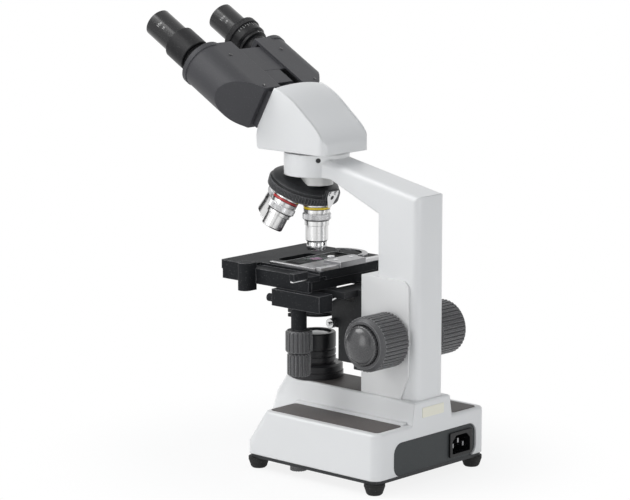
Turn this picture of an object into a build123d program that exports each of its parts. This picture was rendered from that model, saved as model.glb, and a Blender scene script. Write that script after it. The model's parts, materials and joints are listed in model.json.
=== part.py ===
"""Upright binocular light microscope, split into its physical pieces.

Millimetres. Z is up and z=0 is the table. The optical axis is X=0, Y=0.
The user sits at -Y, the arm stands at +Y, and the user's right is +X.
"""
from build123d import *
import os
from math import sin, cos, tan, radians, pi

os.makedirs("parts", exist_ok=True)

# ---------------------------------------------------------------- clearances
slide_gap = 0.08        # between two faces that slide on each other
bearing_gap = 0.05      # radial, between a turning pin and its hole
part_gap = 0.4          # between pieces that must not touch

# ---------------------------------------------------------------- base
foot_height = 10.0
foot_bottom_radius = 7.2
foot_top_radius = 9.3
foot_x = 66.0
foot_front_y = -10.0
foot_rear_y = 128.0
foot_dish_radius = 4.0
plate_thickness = 3.5
plate_inset = 1.5
base_bottom_z = foot_height + plate_thickness
base_top_z = 55.0
base_half_width = 74.5
base_front_y = -18.0
base_rear_y = 137.0
base_nose_z = 25.0
base_crest_y = 3.0
base_corner_radius = 8.0
base_edge_radius = 2.5
base_wall = 4.0
ridge_top_z = 74.6
ridge_waist_z = 58.0
ridge_top_half = 23.5
ridge_waist_half = 26.6
ridge_foot_half = 33.0
ridge_top_nose_y = -4.7
ridge_waist_nose_y = -12.7
ridge_foot_nose_y = -19.0
ridge_edge_radius = 2.0

pad_inner_x = 34.0
pad_outer_x = 67.5
pad_front_y = 5.0
pad_rear_y = 132.0
pad_thickness = 1.6
pad_recess = 1.2
pad_corner_radius = 4.0

deck_thickness = 1.2
deck_half_width = 20.5
deck_recess = 0.8

panel_left_x = -61.0
panel_right_x = 51.0
panel_top_z = 43.0
panel_corner_radius = 10.0
panel_thickness = 3.0
panel_lip = 3.0
panel_setback = 1.6
panel_gap = 0.25

inlet_x = -40.5
inlet_z = 27.0
inlet_flange_width = 30.5
inlet_flange_height = 22.5
inlet_flange_proud = 1.8
inlet_body_width = 27.0
inlet_body_height = 19.6
inlet_body_depth = 24.0
inlet_mouth_width = 24.4
inlet_mouth_height = 16.6
inlet_mouth_depth = 17.0
inlet_mouth_chamfer = 5.0
inlet_pin_length = 13.0
inlet_pin_width = 2.0
inlet_pin_height = 4.0
inlet_pin_pitch = 7.0
inlet_pin_rise = 2.0

label_width = 29.0
label_height = 8.8
label_x = -1.0
label_z = 64.2
label_thickness = 0.5

dial_y = 22.0
dial_z = 34.0
dial_radius = 10.5
dial_length = 7.0
dial_shaft_radius = 3.0
dial_rib_count = 24

thumb_x = base_half_width - 14.5
thumb_y = 33.0
thumb_radius = 7.6
thumb_head = 6.2
thumb_shank_radius = 2.5
thumb_knurl_count = 20

board_width = 52.0
board_depth = 60.0
board_thickness = 1.6
board_x = 36.0
board_y = 82.0
board_z = 30.0
board_post_radius = 3.0
transformer_width = 24.0
transformer_depth = 28.0
transformer_height = 16.0

# ---------------------------------------------------------------- illuminator
lamp_flange_radius = 24.3
lamp_flange_height = 13.0
lamp_tube_radius = 17.4
lamp_top_z = 115.7
lamp_bore_radius = 13.5
lamp_groove_depth = 1.6
lamp_groove_width = 2.4
field_lens_radius = 13.4
field_lens_thickness = 4.0
lamp_socket_radius = 11.0
lamp_bulb_radius = 5.0

# ---------------------------------------------------------------- arm
column_half = 18.5
column_rear_y = 134.5
column_front_y = 90.0
column_edge_radius = 6.0
housing_front_y = 72.0
housing_top_z = 180.0
cover_thickness = 2.0
cover_rear_y = 126.5
cover_corner_radius = 8.0
cover_foot_y = 118.0
cover_foot_z = 96.0
arm_top_y = 24.4
arm_top_z = 276.8
arm_top_slope = 0.203
arm_rear_radius = 24.0
arm_under_front_y = 46.0
arm_under_front_z = 254.6
arm_under_rear_y = 77.6
arm_under_rear_z = 241.1
boss_radius = 29.6
boss_bottom_z = 260.0
boss_top_z = 280.0
spigot_radius = 20.0
spigot_depth = 7.0
light_path_radius = 11.0
slot_half = 12.0
slot_depth = 50.0
slot_bottom_z = 79.0
slot_top_z = 177.0
cable_hole_radius = 5.0
arm_bolt_radius = 3.0
arm_bolt_x = 12.5
arm_bolt_front_y = 80.0
arm_bolt_rear_y = 126.0
arm_bolt_grip = 4.2
arm_bolt_head_radius = 5.0
arm_bolt_head = 4.0

# ---------------------------------------------------------------- focus drive
focus_y = 106.0
focus_z = 127.0
coarse_tube_radius = 6.0
fine_shaft_radius = 4.0
coarse_outer_x = 57.5
coarse_radius = 24.3
coarse_rib_count = 40
coarse_rib_depth = 1.3
coarse_step_length = 4.0
fine_outer_x = 68.0
fine_radius = 17.5
fine_edge_length = 7.0
pinion_teeth = 14
gear_module = 1.0
pinion_radius = pinion_teeth * gear_module / 2
pinion_half_length = 5.0
tooth_addendum = 0.8 * gear_module
tooth_dedendum = 1.1 * gear_module
tooth_half_pitch_width = 0.2 * pi * gear_module
rack_half_width = 4.5
rack_thickness = 5.0
block_front_y = 76.0
block_bottom_z = 90.0
block_top_z = 172.0
block_half = slot_half - slide_gap
tongue_half = 6.0
tongue_depth = 8.0

carrier_front_y = 60.0
carrier_rear_y = housing_front_y - part_gap
carrier_half = 17.0
carrier_bottom_z = 92.0
fork_inner = 25.0
fork_outer = 35.0
fork_thickness = 6.0

# ---------------------------------------------------------------- stage
stage_bottom_z = 164.5
stage_split_z = 173.0
stage_top_z = 181.0
stage_half = 57.0
stage_front_y = -66.0
stage_rear_y = 42.0
stage_skirt = 4.5
stage_corner_radius = 3.0
stage_base_half = 50.0
stage_base_front_y = -40.0
stage_base_rear_y = 40.0
stage_base_hole = 18.0
stage_window_half_x = 22.0
stage_window_front_y = -30.0
stage_window_rear_y = 32.0
stage_guide_half = 8.0
stage_guide_depth = 3.0
stage_guide_x = 38.0
ledge_x = 42.0
ledge_y = -30.0
ledge_drop = 2.6
rail_front_y = 35.5
rail_depth = 6.0
rail_height = 3.2
strip_x = 40.0
slide_length = 76.0
slide_width = 26.0
slide_thickness = 1.1
slide_centre_y = 0.0
holder_front_y = 24.0
holder_half = 17.0
finger_pivot_x = 8.0 - slide_length / 2
finger_pivot_y = 27.0
finger_pin_radius = 1.5
finger_hub_radius = 3.2
finger_bow = 11.5
finger_thickness = 1.8
holder_screw_radius = 4.0
end_bar_x = 64.0
end_bar_y = -28.0
end_bar_radius = 6.5
end_bar_bottom_z = 159.0
end_bar_top_z = 184.0

drive_x = 54.0
drive_y = 28.0
drive_block_top_z = 164.0
drive_block_bottom_z = 149.0
drive_block_half_x = 8.5
drive_block_front_y = 3.0
drive_block_rear_y = 60.0
drive_sleeve_radius = 7.0
drive_sleeve_bottom_z = 130.0
y_tube_radius = 4.5
x_shaft_radius = 2.5
y_knob_radius = 12.0
y_knob_top_z = 129.0
y_knob_bottom_z = 109.2
x_knob_radius = 10.5
x_knob_top_z = 108.4
x_knob_bottom_z = 88.0
drive_rib_count = 18
drive_rib_depth = 1.2

# ---------------------------------------------------------------- condenser
condenser_radius = 18.0
condenser_bottom_z = 134.5
condenser_shoulder_z = 158.0
condenser_top_radius = 13.5
condenser_head_height = 9.7
condenser_bore = 12.0
bracket_ring_radius = 22.5
bracket_half = 13.0
bracket_top_z = condenser_shoulder_z - 6.0
bracket_step_z = 126.0
bracket_bottom_z = 96.0
bracket_front_y = 30.0
bracket_foot_y = 38.0
bracket_rail_half = 7.0
bracket_rail_depth = 5.0
iris_radius = 18.6
iris_thickness = 3.4
iris_bottom_z = condenser_shoulder_z + part_gap
iris_top_z = iris_bottom_z + iris_thickness
condenser_top_z = iris_top_z + condenser_head_height
filter_radius = 17.0
filter_ear_radius = 4.0
filter_rim = 1.8
filter_ear_reach = 7.0
filter_seat_depth = 1.5
filter_pin_radius = 1.5
filter_tab_half = 3.0
filter_tab_reach = 4.0
filter_thickness = 2.4
clamp_screw_y = 33.0
clamp_screw_z = 130.0
clamp_grip_radius = 4.4
clamp_grip_length = 6.0
stop_y = 27.0
stop_z = 147.0
stop_hub_radius = 3.4
stop_hub_length = 4.0
stop_rod_radius = 1.3
stop_reach_y = 15.0
stop_reach_z = 8.5

# ---------------------------------------------------------------- nosepiece
nose_apex_z = 289.0
nose_tilt = 20.0
objective_tilt = 20.0
ring_radius = 14.8
ring_bottom_z = 250.5
carrier_disc_radius = 31.0
carrier_disc_near = 38.5
carrier_disc_far = 41.7
carrier_neck_radius = 16.0
carrier_neck_near = 33.5
turret_near = 42.1
turret_radius = 32.0
turret_rim_far = 49.0
turret_far = 55.5
turret_knurl_count = 72
turret_knurl_depth = 0.5
turret_bore = 5.0
pivot_head_radius = 7.5
pivot_head_height = 2.4
objective_seat = 54.0
objective_thread_radius = 10.1
objective_thread_length = 4.5
objective_bore = 5.0
collar_radius = 12.0
objective_long = 98.6
objective_short = 87.5

# ---------------------------------------------------------------- head
head_bottom_z = 281.4
head_half_width = 31.0
tube_rise = 30.0
tube_offset = 255.9
tube_half_spacing = 40.9
box_radius = 21.7
box_near = 194.2
box_far = 262.8
box_inner_x = 15.5
box_wall = 2.2
box_cut_depth = 28.8
box_cut_inner_x = 31.0
bridge_thickness = 5.2
bridge_face = box_near - bridge_thickness
box_cut_outer = box_near + box_cut_depth
bridge_half_x = head_half_width
core_half_x = 15.0
core_half_n = 15.0
core_far = box_far - 16.8
box_split = box_near + 26.8
light_well_near = box_near + 11.8
light_well_far = core_far - 18.0
plate_strip = 1.6
rear_strip_reach = -8.4
front_strip_reach = 2.0 - box_inner_x
cap_radius = 22.5
cap_far = 267.3
tube_radius = 12.5
tube_bore = 11.65
sleeve_near = 276.8
sleeve_far = 301.8
sleeve_radius = 16.0
dioptre_near = 286.0
dioptre_step = 297.0
dioptre_far = 303.0
dioptre_radius = 18.5
dioptre_scale_radius = 17.0
eyepiece_far = 333.0
eyepiece_radius = 13.35
eyepiece_spigot_radius = 11.6
eyepiece_spigot_near = 276.0
eye_lens_radius = 9.5
set_screw_radius = 2.2
set_screw_z = 275.6
set_screw_turn = 45.0


# ---------------------------------------------------------------- helpers
def rect_face(plane, x0, x1, y0, y1, radius=0.0):
    """Face between two corners, in the plane's own directions."""
    with BuildSketch(plane) as outline:
        with Locations(((x0 + x1) / 2, (y0 + y1) / 2)):
            Rectangle(abs(x1 - x0), abs(y1 - y0))
        if radius > 0:
            fillet(outline.vertices(), radius)
    return outline.sketch


def ring_face(plane, outer, inner=0.0, x=0.0, y=0.0):
    """Disc, or ring when an inner radius is given."""
    with BuildSketch(plane) as outline:
        with Locations((x, y)):
            Circle(outer)
            if inner > 0:
                Circle(inner, mode=Mode.SUBTRACT)
    return outline.sketch


def chain_face(plane, points):
    """Closed straight-sided face through the points."""
    with BuildSketch(plane) as outline:
        with BuildLine():
            Polyline(*points, close=True)
        make_face()
    return outline.sketch


def ribbed_face(plane, outer, depth, count, inner=0.0):
    """Disc with round-bottomed flutes all round its rim."""
    flute = pi * outer / count * 0.5
    with BuildSketch(plane) as outline:
        Circle(outer)
        with PolarLocations(outer + flute - depth, count):
            Circle(flute, mode=Mode.SUBTRACT)
        if inner > 0:
            Circle(inner, mode=Mode.SUBTRACT)
    return outline.sketch


def prow_face(height, half, nose_y, rear_y):
    """Plan of the ridge at one height: straight sides and a round nose."""
    with BuildSketch(Plane.XY.offset(height)) as outline:
        with BuildLine():
            Line((-half, rear_y), (-half, nose_y))
            ThreePointArc((-half, nose_y), (0, nose_y - half), (half, nose_y))
            Line((half, nose_y), (half, rear_y))
            Line((half, rear_y), (-half, rear_y))
        make_face()
    return outline.sketch


def turned(base, points):
    """Turn a half section about the plane's normal; points are (radius, distance)."""
    section = Plane(origin=base.origin, x_dir=base.x_dir, z_dir=base.x_dir.cross(base.z_dir))
    revolve(chain_face(section, points), axis=Axis(base.origin, base.z_dir))


def block(x0, x1, y0, y1, z0, z1, mode=Mode.ADD):
    """Rectangular block between two corners."""
    extrude(rect_face(Plane.XY.offset(z0), x0, x1, y0, y1), amount=z1 - z0, mode=mode)


def upright(radius, x, y, z0, z1, mode=Mode.ADD):
    """Vertical round bar."""
    extrude(ring_face(Plane.XY.offset(z0), radius, 0, x, y), amount=z1 - z0, mode=mode)


def crossbar(radius, x0, x1, y, z, mode=Mode.ADD):
    """Round bar along X."""
    extrude(ring_face(Plane.YZ.offset(x0), radius, 0, y, z), amount=x1 - x0, mode=mode)


def rod(radius, start, end, mode=Mode.ADD):
    """Round bar from one point to another."""
    span = Vector(*end) - Vector(*start)
    extrude(ring_face(Plane(origin=start, z_dir=span), radius), amount=span.length, mode=mode)


# ================================================================ base
curb_half = 32.0
curb_height = 2.0
curb_rear_y = 131.0
base_screw_boss = 5.5

with BuildPart() as base_casting:
    wing_side = [
        (base_front_y, base_bottom_z),
        (base_front_y, base_nose_z),
        (base_crest_y, base_top_z),
        (base_rear_y, base_top_z),
        (base_rear_y, base_bottom_z),
    ]
    extrude(chain_face(Plane.YZ, wing_side), amount=base_half_width, both=True)
    side_edges = base_casting.edges().filter_by(
        lambda e: abs(abs(e.center().X) - base_half_width) < 0.01
    )
    corner_edges = side_edges.filter_by(Axis.Y, reverse=True)
    fillet(corner_edges, base_corner_radius)
    rim_edges = base_casting.faces().sort_by(Axis.Z)[-1].edges()
    fillet(rim_edges, base_edge_radius)
    block(-curb_half, curb_half, base_crest_y, curb_rear_y, base_top_z - 2, base_top_z + curb_height)
    curb_edges = base_casting.edges().filter_by(Axis.Y).filter_by(
        lambda e: abs(e.center().Z - base_top_z - curb_height) < 0.01
    )
    fillet(curb_edges, 1.2)
    prow = [
        prow_face(base_bottom_z, ridge_foot_half, ridge_foot_nose_y, base_rear_y),
        prow_face(ridge_waist_z, ridge_waist_half, ridge_waist_nose_y, base_rear_y),
        prow_face(ridge_top_z, ridge_top_half, ridge_top_nose_y, base_rear_y),
    ]
    loft(prow, ruled=True)
    ridge_edges = base_casting.faces().sort_by(Axis.Z)[-1].edges()
    fillet(ridge_edges, ridge_edge_radius)
    # hollow underneath
    hollow_side = [
        (base_front_y + base_wall, base_bottom_z),
        (base_front_y + base_wall, base_nose_z),
        (base_crest_y + base_wall, base_top_z - base_wall),
        (base_rear_y - base_wall, base_top_z - base_wall),
        (base_rear_y - base_wall, base_bottom_z),
    ]
    extrude(
        chain_face(Plane.YZ, hollow_side),
        amount=base_half_width - base_wall,
        both=True,
        mode=Mode.SUBTRACT,
    )
    prow_hollow = [
        prow_face(base_bottom_z, ridge_foot_half - base_wall, ridge_foot_nose_y, base_rear_y - base_wall),
        prow_face(ridge_waist_z, ridge_waist_half - base_wall, ridge_waist_nose_y, base_rear_y - base_wall),
        prow_face(
            ridge_top_z - base_wall,
            ridge_top_half - base_wall,
            ridge_top_nose_y,
            base_rear_y - base_wall,
        ),
    ]
    loft(prow_hollow, ruled=True, mode=Mode.SUBTRACT)
    # opening for the lamp, bolt holes for the arm, screw boss, dial hole
    upright(lamp_bore_radius, 0, 0, base_top_z, ridge_top_z + 1, Mode.SUBTRACT)
    for bolt_x in (-arm_bolt_x, arm_bolt_x):
        for bolt_y in (arm_bolt_front_y, arm_bolt_rear_y):
            upright(arm_bolt_radius, bolt_x, bolt_y, base_top_z, ridge_top_z + 1, Mode.SUBTRACT)
    upright(cable_hole_radius, 0, 100, base_top_z, ridge_top_z + 1, Mode.SUBTRACT)
    upright(base_screw_boss, thumb_x, thumb_y, base_bottom_z, base_top_z - base_wall + 0.5)
    upright(
        thumb_shank_radius + bearing_gap,
        thumb_x,
        thumb_y,
        base_bottom_z - 1,
        base_bottom_z + 20,
        Mode.SUBTRACT,
    )
    crossbar(
        dial_shaft_radius + bearing_gap,
        -base_half_width - 1,
        -base_half_width + base_wall + 1,
        dial_y,
        dial_z,
        Mode.SUBTRACT,
    )
    # opening in the back wall, round top corners, open at the bottom
    with BuildSketch(Plane.XZ.offset(-base_rear_y - 1)) as back_opening:
        with BuildLine():
            Polyline(
                (panel_left_x, base_bottom_z - 1),
                (panel_left_x, panel_top_z),
                (panel_right_x, panel_top_z),
                (panel_right_x, base_bottom_z - 1),
                close=True,
            )
        make_face()
        top_corners = back_opening.vertices().group_by(Axis.Z)[-1]
        fillet(top_corners, panel_corner_radius)
    extrude(amount=base_wall + 2, mode=Mode.SUBTRACT)
    # shallow seats for the rest pads and the deck plate
    for side in (-1, 1):
        pad_seat = rect_face(
            Plane.XY.offset(base_top_z - pad_recess),
            side * pad_inner_x,
            side * pad_outer_x,
            pad_front_y,
            pad_rear_y,
            pad_corner_radius,
        )
        extrude(pad_seat, amount=pad_recess + 3, mode=Mode.SUBTRACT)
    block(
        -deck_half_width,
        deck_half_width,
        0,
        housing_front_y,
        ridge_top_z - deck_recess,
        ridge_top_z + 1,
        Mode.SUBTRACT,
    )
base_casting.part.label = "base_casting"

with BuildPart() as base_plate:
    plate_half = base_half_width - plate_inset
    extrude(
        rect_face(
            Plane.XY.offset(foot_height),
            -plate_half,
            plate_half,
            base_front_y + plate_inset,
            base_rear_y - plate_inset,
            base_corner_radius - plate_inset,
        ),
        amount=plate_thickness,
    )
    extrude(
        prow_face(foot_height, ridge_foot_half - plate_inset, ridge_foot_nose_y, base_rear_y - 40),
        amount=plate_thickness,
    )
    upright(
        thumb_shank_radius + bearing_gap,
        thumb_x,
        thumb_y,
        foot_height - 1,
        base_bottom_z + 1,
        Mode.SUBTRACT,
    )
    with BuildSketch(Plane.XY.offset(foot_height)) as vents:
        with Locations((0, 0)):
            with GridLocations(7.0, 0, 6, 1):
                SlotOverall(30.0, 3.0, rotation=90)
        with Locations((36, 92)):
            with GridLocations(7.0, 0, 6, 1):
                SlotOverall(34.0, 3.0, rotation=90)
    extrude(amount=plate_thickness, mode=Mode.SUBTRACT)
base_plate.part.label = "base_plate"

with BuildPart() as feet:
    for foot_side in (-1, 1):
        for foot_y in (foot_front_y, foot_rear_y):
            turned(
                Plane(origin=(foot_side * foot_x, foot_y, 0)),
                [
                    (foot_dish_radius, 0.0),
                    (foot_bottom_radius - 1.2, 0.0),
                    (foot_bottom_radius, 1.2),
                    (foot_bottom_radius + 0.9, 4.0),
                    (foot_top_radius - 0.3, 6.6),
                    (foot_top_radius, 7.2),
                    (foot_top_radius, foot_height),
                    (0, foot_height),
                    (0, 5.0),
                    (foot_dish_radius, 5.0),
                ],
            )
feet.part.label = "feet"

with BuildPart() as base_thumb_screw:
    thumb_bottom = foot_height - thumb_head
    extrude(
        ribbed_face(Plane(origin=(thumb_x, thumb_y, thumb_bottom)), thumb_radius, 0.6, thumb_knurl_count),
        amount=thumb_head - 0.2,
    )
    upright(thumb_shank_radius, thumb_x, thumb_y, foot_height - 0.3, base_bottom_z + 16)
base_thumb_screw.part.label = "base_thumb_screw"

with BuildPart() as base_pads:
    block(
        -deck_half_width,
        deck_half_width,
        0,
        housing_front_y,
        ridge_top_z - deck_recess,
        ridge_top_z - deck_recess + deck_thickness,
    )
    upright(lamp_flange_radius, 0, 0, ridge_top_z - 2, ridge_top_z + 2, Mode.SUBTRACT)
    for side in (-1, 1):
        extrude(
            rect_face(
                Plane.XY.offset(base_top_z - pad_recess),
                side * pad_inner_x,
                side * pad_outer_x,
                pad_front_y,
                pad_rear_y,
                pad_corner_radius,
            ),
            amount=pad_thickness,
        )
base_pads.part.label = "base_pads"

panel_front_y = base_rear_y - panel_setback
panel_back_y = base_rear_y - base_wall

with BuildPart() as rear_panel:
    with BuildSketch(Plane.XZ.offset(-panel_front_y)) as panel_outline:
        with BuildLine():
            Polyline(
                (panel_left_x + panel_gap, base_bottom_z),
                (panel_left_x + panel_gap, panel_top_z - panel_gap),
                (panel_right_x - panel_gap, panel_top_z - panel_gap),
                (panel_right_x - panel_gap, base_bottom_z),
                close=True,
            )
        make_face()
        panel_corners = panel_outline.vertices().group_by(Axis.Z)[-1]
        fillet(panel_corners, panel_corner_radius - panel_gap)
    extrude(amount=panel_front_y - panel_back_y)
    extrude(
        rect_face(
            Plane.XZ.offset(-panel_back_y),
            panel_left_x - panel_lip,
            panel_right_x + panel_lip,
            base_bottom_z,
            panel_top_z + panel_lip,
        ),
        amount=panel_thickness - 1,
    )
    extrude(
        rect_face(
            Plane.XZ.offset(-panel_front_y - 1),
            inlet_x - inlet_body_width / 2 - panel_gap,
            inlet_x + inlet_body_width / 2 + panel_gap,
            inlet_z - inlet_body_height / 2 - panel_gap,
            inlet_z + inlet_body_height / 2 + panel_gap,
        ),
        amount=10,
        mode=Mode.SUBTRACT,
    )
rear_panel.part.label = "rear_panel"

inlet_face_y = panel_front_y + inlet_flange_proud

with BuildPart() as mains_inlet:
    extrude(
        rect_face(
            Plane.XZ.offset(-inlet_face_y),
            inlet_x - inlet_flange_width / 2,
            inlet_x + inlet_flange_width / 2,
            inlet_z - inlet_flange_height / 2,
            inlet_z + inlet_flange_height / 2,
            1.5,
        ),
        amount=inlet_flange_proud,
    )
    extrude(
        rect_face(
            Plane.XZ.offset(-panel_front_y),
            inlet_x - inlet_body_width / 2,
            inlet_x + inlet_body_width / 2,
            inlet_z - inlet_body_height / 2,
            inlet_z + inlet_body_height / 2,
        ),
        amount=inlet_body_depth,
    )
    mouth_x0 = inlet_x - inlet_mouth_width / 2
    mouth_x1 = inlet_x + inlet_mouth_width / 2
    mouth_z0 = inlet_z - inlet_mouth_height / 2
    mouth_z1 = inlet_z + inlet_mouth_height / 2
    mouth_outline = [
        (mouth_x0, mouth_z0),
        (mouth_x1, mouth_z0),
        (mouth_x1, mouth_z1 - inlet_mouth_chamfer),
        (mouth_x1 - inlet_mouth_chamfer, mouth_z1),
        (mouth_x0 + inlet_mouth_chamfer, mouth_z1),
        (mouth_x0, mouth_z1 - inlet_mouth_chamfer),
    ]
    extrude(
        chain_face(Plane.XZ.offset(-inlet_face_y - 0.5), mouth_outline),
        amount=inlet_mouth_depth + 0.5,
        mode=Mode.SUBTRACT,
    )
mains_inlet.part.label = "mains_inlet"

inlet_floor_y = inlet_face_y - inlet_mouth_depth

with BuildPart() as inlet_pins:
    for pin_x, pin_z in (
        (inlet_x - inlet_pin_pitch, inlet_z - inlet_pin_rise),
        (inlet_x + inlet_pin_pitch, inlet_z - inlet_pin_rise),
        (inlet_x, inlet_z + inlet_pin_rise),
    ):
        extrude(
            rect_face(
                Plane.XZ.offset(-inlet_floor_y - inlet_pin_length),
                pin_x - inlet_pin_width / 2,
                pin_x + inlet_pin_width / 2,
                pin_z - inlet_pin_height / 2,
                pin_z + inlet_pin_height / 2,
            ),
            amount=inlet_pin_length,
        )
inlet_pins.part.label = "inlet_pins"

with BuildPart() as label_plate:
    extrude(
        rect_face(
            Plane.XZ.offset(-base_rear_y - label_thickness),
            label_x - label_width / 2,
            label_x + label_width / 2,
            label_z - label_height / 2,
            label_z + label_height / 2,
        ),
        amount=label_thickness,
    )
label_plate.part.label = "label_plate"

with BuildPart() as brightness_dial:
    dial_plane = Plane(origin=(-base_half_width, dial_y, dial_z), z_dir=(-1, 0, 0))
    extrude(ribbed_face(dial_plane.offset(part_gap), dial_radius, 0.7, dial_rib_count), amount=dial_length)
    extrude(ring_face(dial_plane.offset(-12), dial_shaft_radius), amount=12 + part_gap)
brightness_dial.part.label = "brightness_dial"

with BuildPart() as power_board:
    block(
        board_x - board_width / 2,
        board_x + board_width / 2,
        board_y - board_depth / 2,
        board_y + board_depth / 2,
        board_z,
        board_z + board_thickness,
    )
    for side_x in (-1, 1):
        for side_y in (-1, 1):
            post_x = board_x + side_x * (board_width / 2 - 2 * board_post_radius)
            post_y = board_y + side_y * (board_depth / 2 - 2 * board_post_radius)
            upright(board_post_radius, post_x, post_y, base_bottom_z, board_z)
    block(
        board_x - transformer_width / 2,
        board_x + transformer_width / 2,
        board_y - transformer_depth / 2,
        board_y + transformer_depth / 2,
        board_z + board_thickness,
        board_z + transformer_height,
    )
power_board.part.label = "power_board"

# ================================================================ illuminator
lamp_seat_z = ridge_top_z
lamp_flange_top = lamp_seat_z + lamp_flange_height

with BuildPart() as illuminator_housing:
    turned(
        Plane.XY,
        [
            (lamp_bore_radius, lamp_seat_z),
            (lamp_flange_radius, lamp_seat_z),
            (lamp_flange_radius, lamp_seat_z + 5.5),
            (lamp_flange_radius - lamp_groove_depth, lamp_seat_z + 5.5),
            (lamp_flange_radius - lamp_groove_depth, lamp_seat_z + 7.5),
            (lamp_flange_radius - 0.6, lamp_seat_z + 7.5),
            (lamp_flange_radius - 0.6, lamp_flange_top - 1.5),
            (lamp_flange_radius - 2.5, lamp_flange_top),
            (lamp_tube_radius - lamp_groove_depth, lamp_flange_top),
            (lamp_tube_radius - lamp_groove_depth, lamp_flange_top + lamp_groove_width),
            (lamp_tube_radius, lamp_flange_top + lamp_groove_width),
            (lamp_tube_radius, lamp_flange_top + lamp_groove_width + 3.6),
            (lamp_tube_radius - lamp_groove_depth, lamp_flange_top + lamp_groove_width + 3.6),
            (lamp_tube_radius - lamp_groove_depth, lamp_flange_top + 2 * lamp_groove_width + 3.6),
            (lamp_tube_radius, lamp_flange_top + 2 * lamp_groove_width + 3.6),
            (lamp_tube_radius, lamp_flange_top + 2 * lamp_groove_width + 7.2),
            (lamp_tube_radius - lamp_groove_depth, lamp_flange_top + 2 * lamp_groove_width + 7.2),
            (lamp_tube_radius - lamp_groove_depth, lamp_flange_top + 3 * lamp_groove_width + 7.2),
            (lamp_tube_radius, lamp_flange_top + 3 * lamp_groove_width + 7.2),
            (lamp_tube_radius, lamp_top_z - 1.0),
            (lamp_tube_radius - 1.0, lamp_top_z),
            (field_lens_radius, lamp_top_z),
            (field_lens_radius, lamp_top_z - field_lens_thickness - 1),
            (lamp_socket_radius + 0.5, lamp_top_z - field_lens_thickness - 1),
            (lamp_socket_radius + 0.5, lamp_flange_top),
            (lamp_bore_radius, lamp_flange_top),
        ],
    )
illuminator_housing.part.label = "illuminator_housing"

with BuildPart() as field_lens:
    turned(
        Plane.XY,
        [
            (0, lamp_top_z - field_lens_thickness - 1),
            (field_lens_radius, lamp_top_z - field_lens_thickness - 1),
            (field_lens_radius, lamp_top_z - 2.4),
            (field_lens_radius * 0.7, lamp_top_z - 1.2),
            (field_lens_radius * 0.35, lamp_top_z - 0.6),
            (0, lamp_top_z - 0.5),
        ],
    )
field_lens.part.label = "field_lens"

with BuildPart() as lamp_module:
    upright(lamp_bore_radius, 0, 0, ridge_top_z - 9, lamp_flange_top - 3)
    upright(lamp_bulb_radius + 3, 0, 0, ridge_top_z - 5, lamp_flange_top - 2, Mode.SUBTRACT)
    block(-4, 4, -9, 9, ridge_top_z - 14, ridge_top_z - 8)
    upright(lamp_bulb_radius, 0, 0, ridge_top_z - 6, ridge_top_z + 3)
    with Locations((0, 0, ridge_top_z + 3)):
        Sphere(lamp_bulb_radius)
lamp_module.part.label = "lamp_module"

# ================================================================ arm
boss_top_y = arm_top_y - (boss_top_z - arm_top_z) / arm_top_slope
arm_back_z = arm_top_z - arm_top_slope * (column_rear_y - arm_top_y)
under_slope = (arm_under_front_z - arm_under_rear_z) / (arm_under_rear_y - arm_under_front_y)
arm_throat_y = arm_under_front_y - (boss_bottom_z - arm_under_front_z) / under_slope
arm_corner_z = arm_under_front_z - under_slope * (column_front_y - arm_under_front_y)
arm_throat_radius = 15.0
pinion_bearing = coarse_tube_radius + bearing_gap

set_screw_out = (cos(radians(set_screw_turn)), sin(radians(set_screw_turn)), 0)
set_screw_plane = Plane(origin=(0, 0, set_screw_z), z_dir=set_screw_out)

with BuildPart() as arm_casting:
    with BuildSketch(Plane.YZ) as arm_side:
        with BuildLine():
            Polyline(
                (column_rear_y, ridge_top_z),
                (column_rear_y, arm_back_z),
                (boss_top_y, boss_top_z),
                (0, boss_top_z),
                (0, boss_bottom_z),
                (arm_throat_y, boss_bottom_z),
                (column_front_y, arm_corner_z),
                (column_front_y, housing_top_z),
                (housing_front_y, housing_top_z),
                (housing_front_y, ridge_top_z),
                close=True,
            )
        make_face()
        back_corner = arm_side.vertices().filter_by(
            lambda v: abs(v.Y - column_rear_y) < 0.01 and abs(v.Z - arm_back_z) < 0.01
        )
        fillet(back_corner, arm_rear_radius)
        throat_corner = arm_side.vertices().filter_by(
            lambda v: abs(v.Y - column_front_y) < 0.01 and abs(v.Z - arm_corner_z) < 0.01
        )
        fillet(throat_corner, arm_throat_radius)
    extrude(amount=column_half, both=True)
    back_edges = arm_casting.edges().filter_by(
        lambda e: abs(abs(e.center().X) - column_half) < 0.01
        and e.length > 1.2 * column_half
        and (e.center().Y > column_rear_y - arm_rear_radius / 2 or e.center().Z > boss_bottom_z + 2)
    )
    fillet(back_edges, column_edge_radius)
    upright(boss_radius, 0, 0, boss_bottom_z, boss_top_z)
    # seat for the head, light path, slot for the focus slide
    upright(spigot_radius + bearing_gap, 0, 0, boss_top_z - spigot_depth, boss_top_z + 1, Mode.SUBTRACT)
    upright(light_path_radius, 0, 0, boss_bottom_z - 1, boss_top_z, Mode.SUBTRACT)
    block(
        -slot_half,
        slot_half,
        housing_front_y - 1,
        housing_front_y + slot_depth,
        slot_bottom_z,
        slot_top_z,
        Mode.SUBTRACT,
    )
    crossbar(pinion_bearing, -column_half - 1, column_half + 1, focus_y, focus_z, Mode.SUBTRACT)
    for bolt_x in (-arm_bolt_x, arm_bolt_x):
        for bolt_y in (arm_bolt_front_y, arm_bolt_rear_y):
            upright(
                arm_bolt_radius,
                bolt_x,
                bolt_y,
                ridge_top_z - 1,
                ridge_top_z + arm_bolt_grip,
                Mode.SUBTRACT,
            )
    extrude(
        ring_face(set_screw_plane.offset(spigot_radius - 1), set_screw_radius),
        amount=boss_radius - spigot_radius + 3,
        mode=Mode.SUBTRACT,
    )
arm_casting.part.label = "arm_casting"

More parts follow.
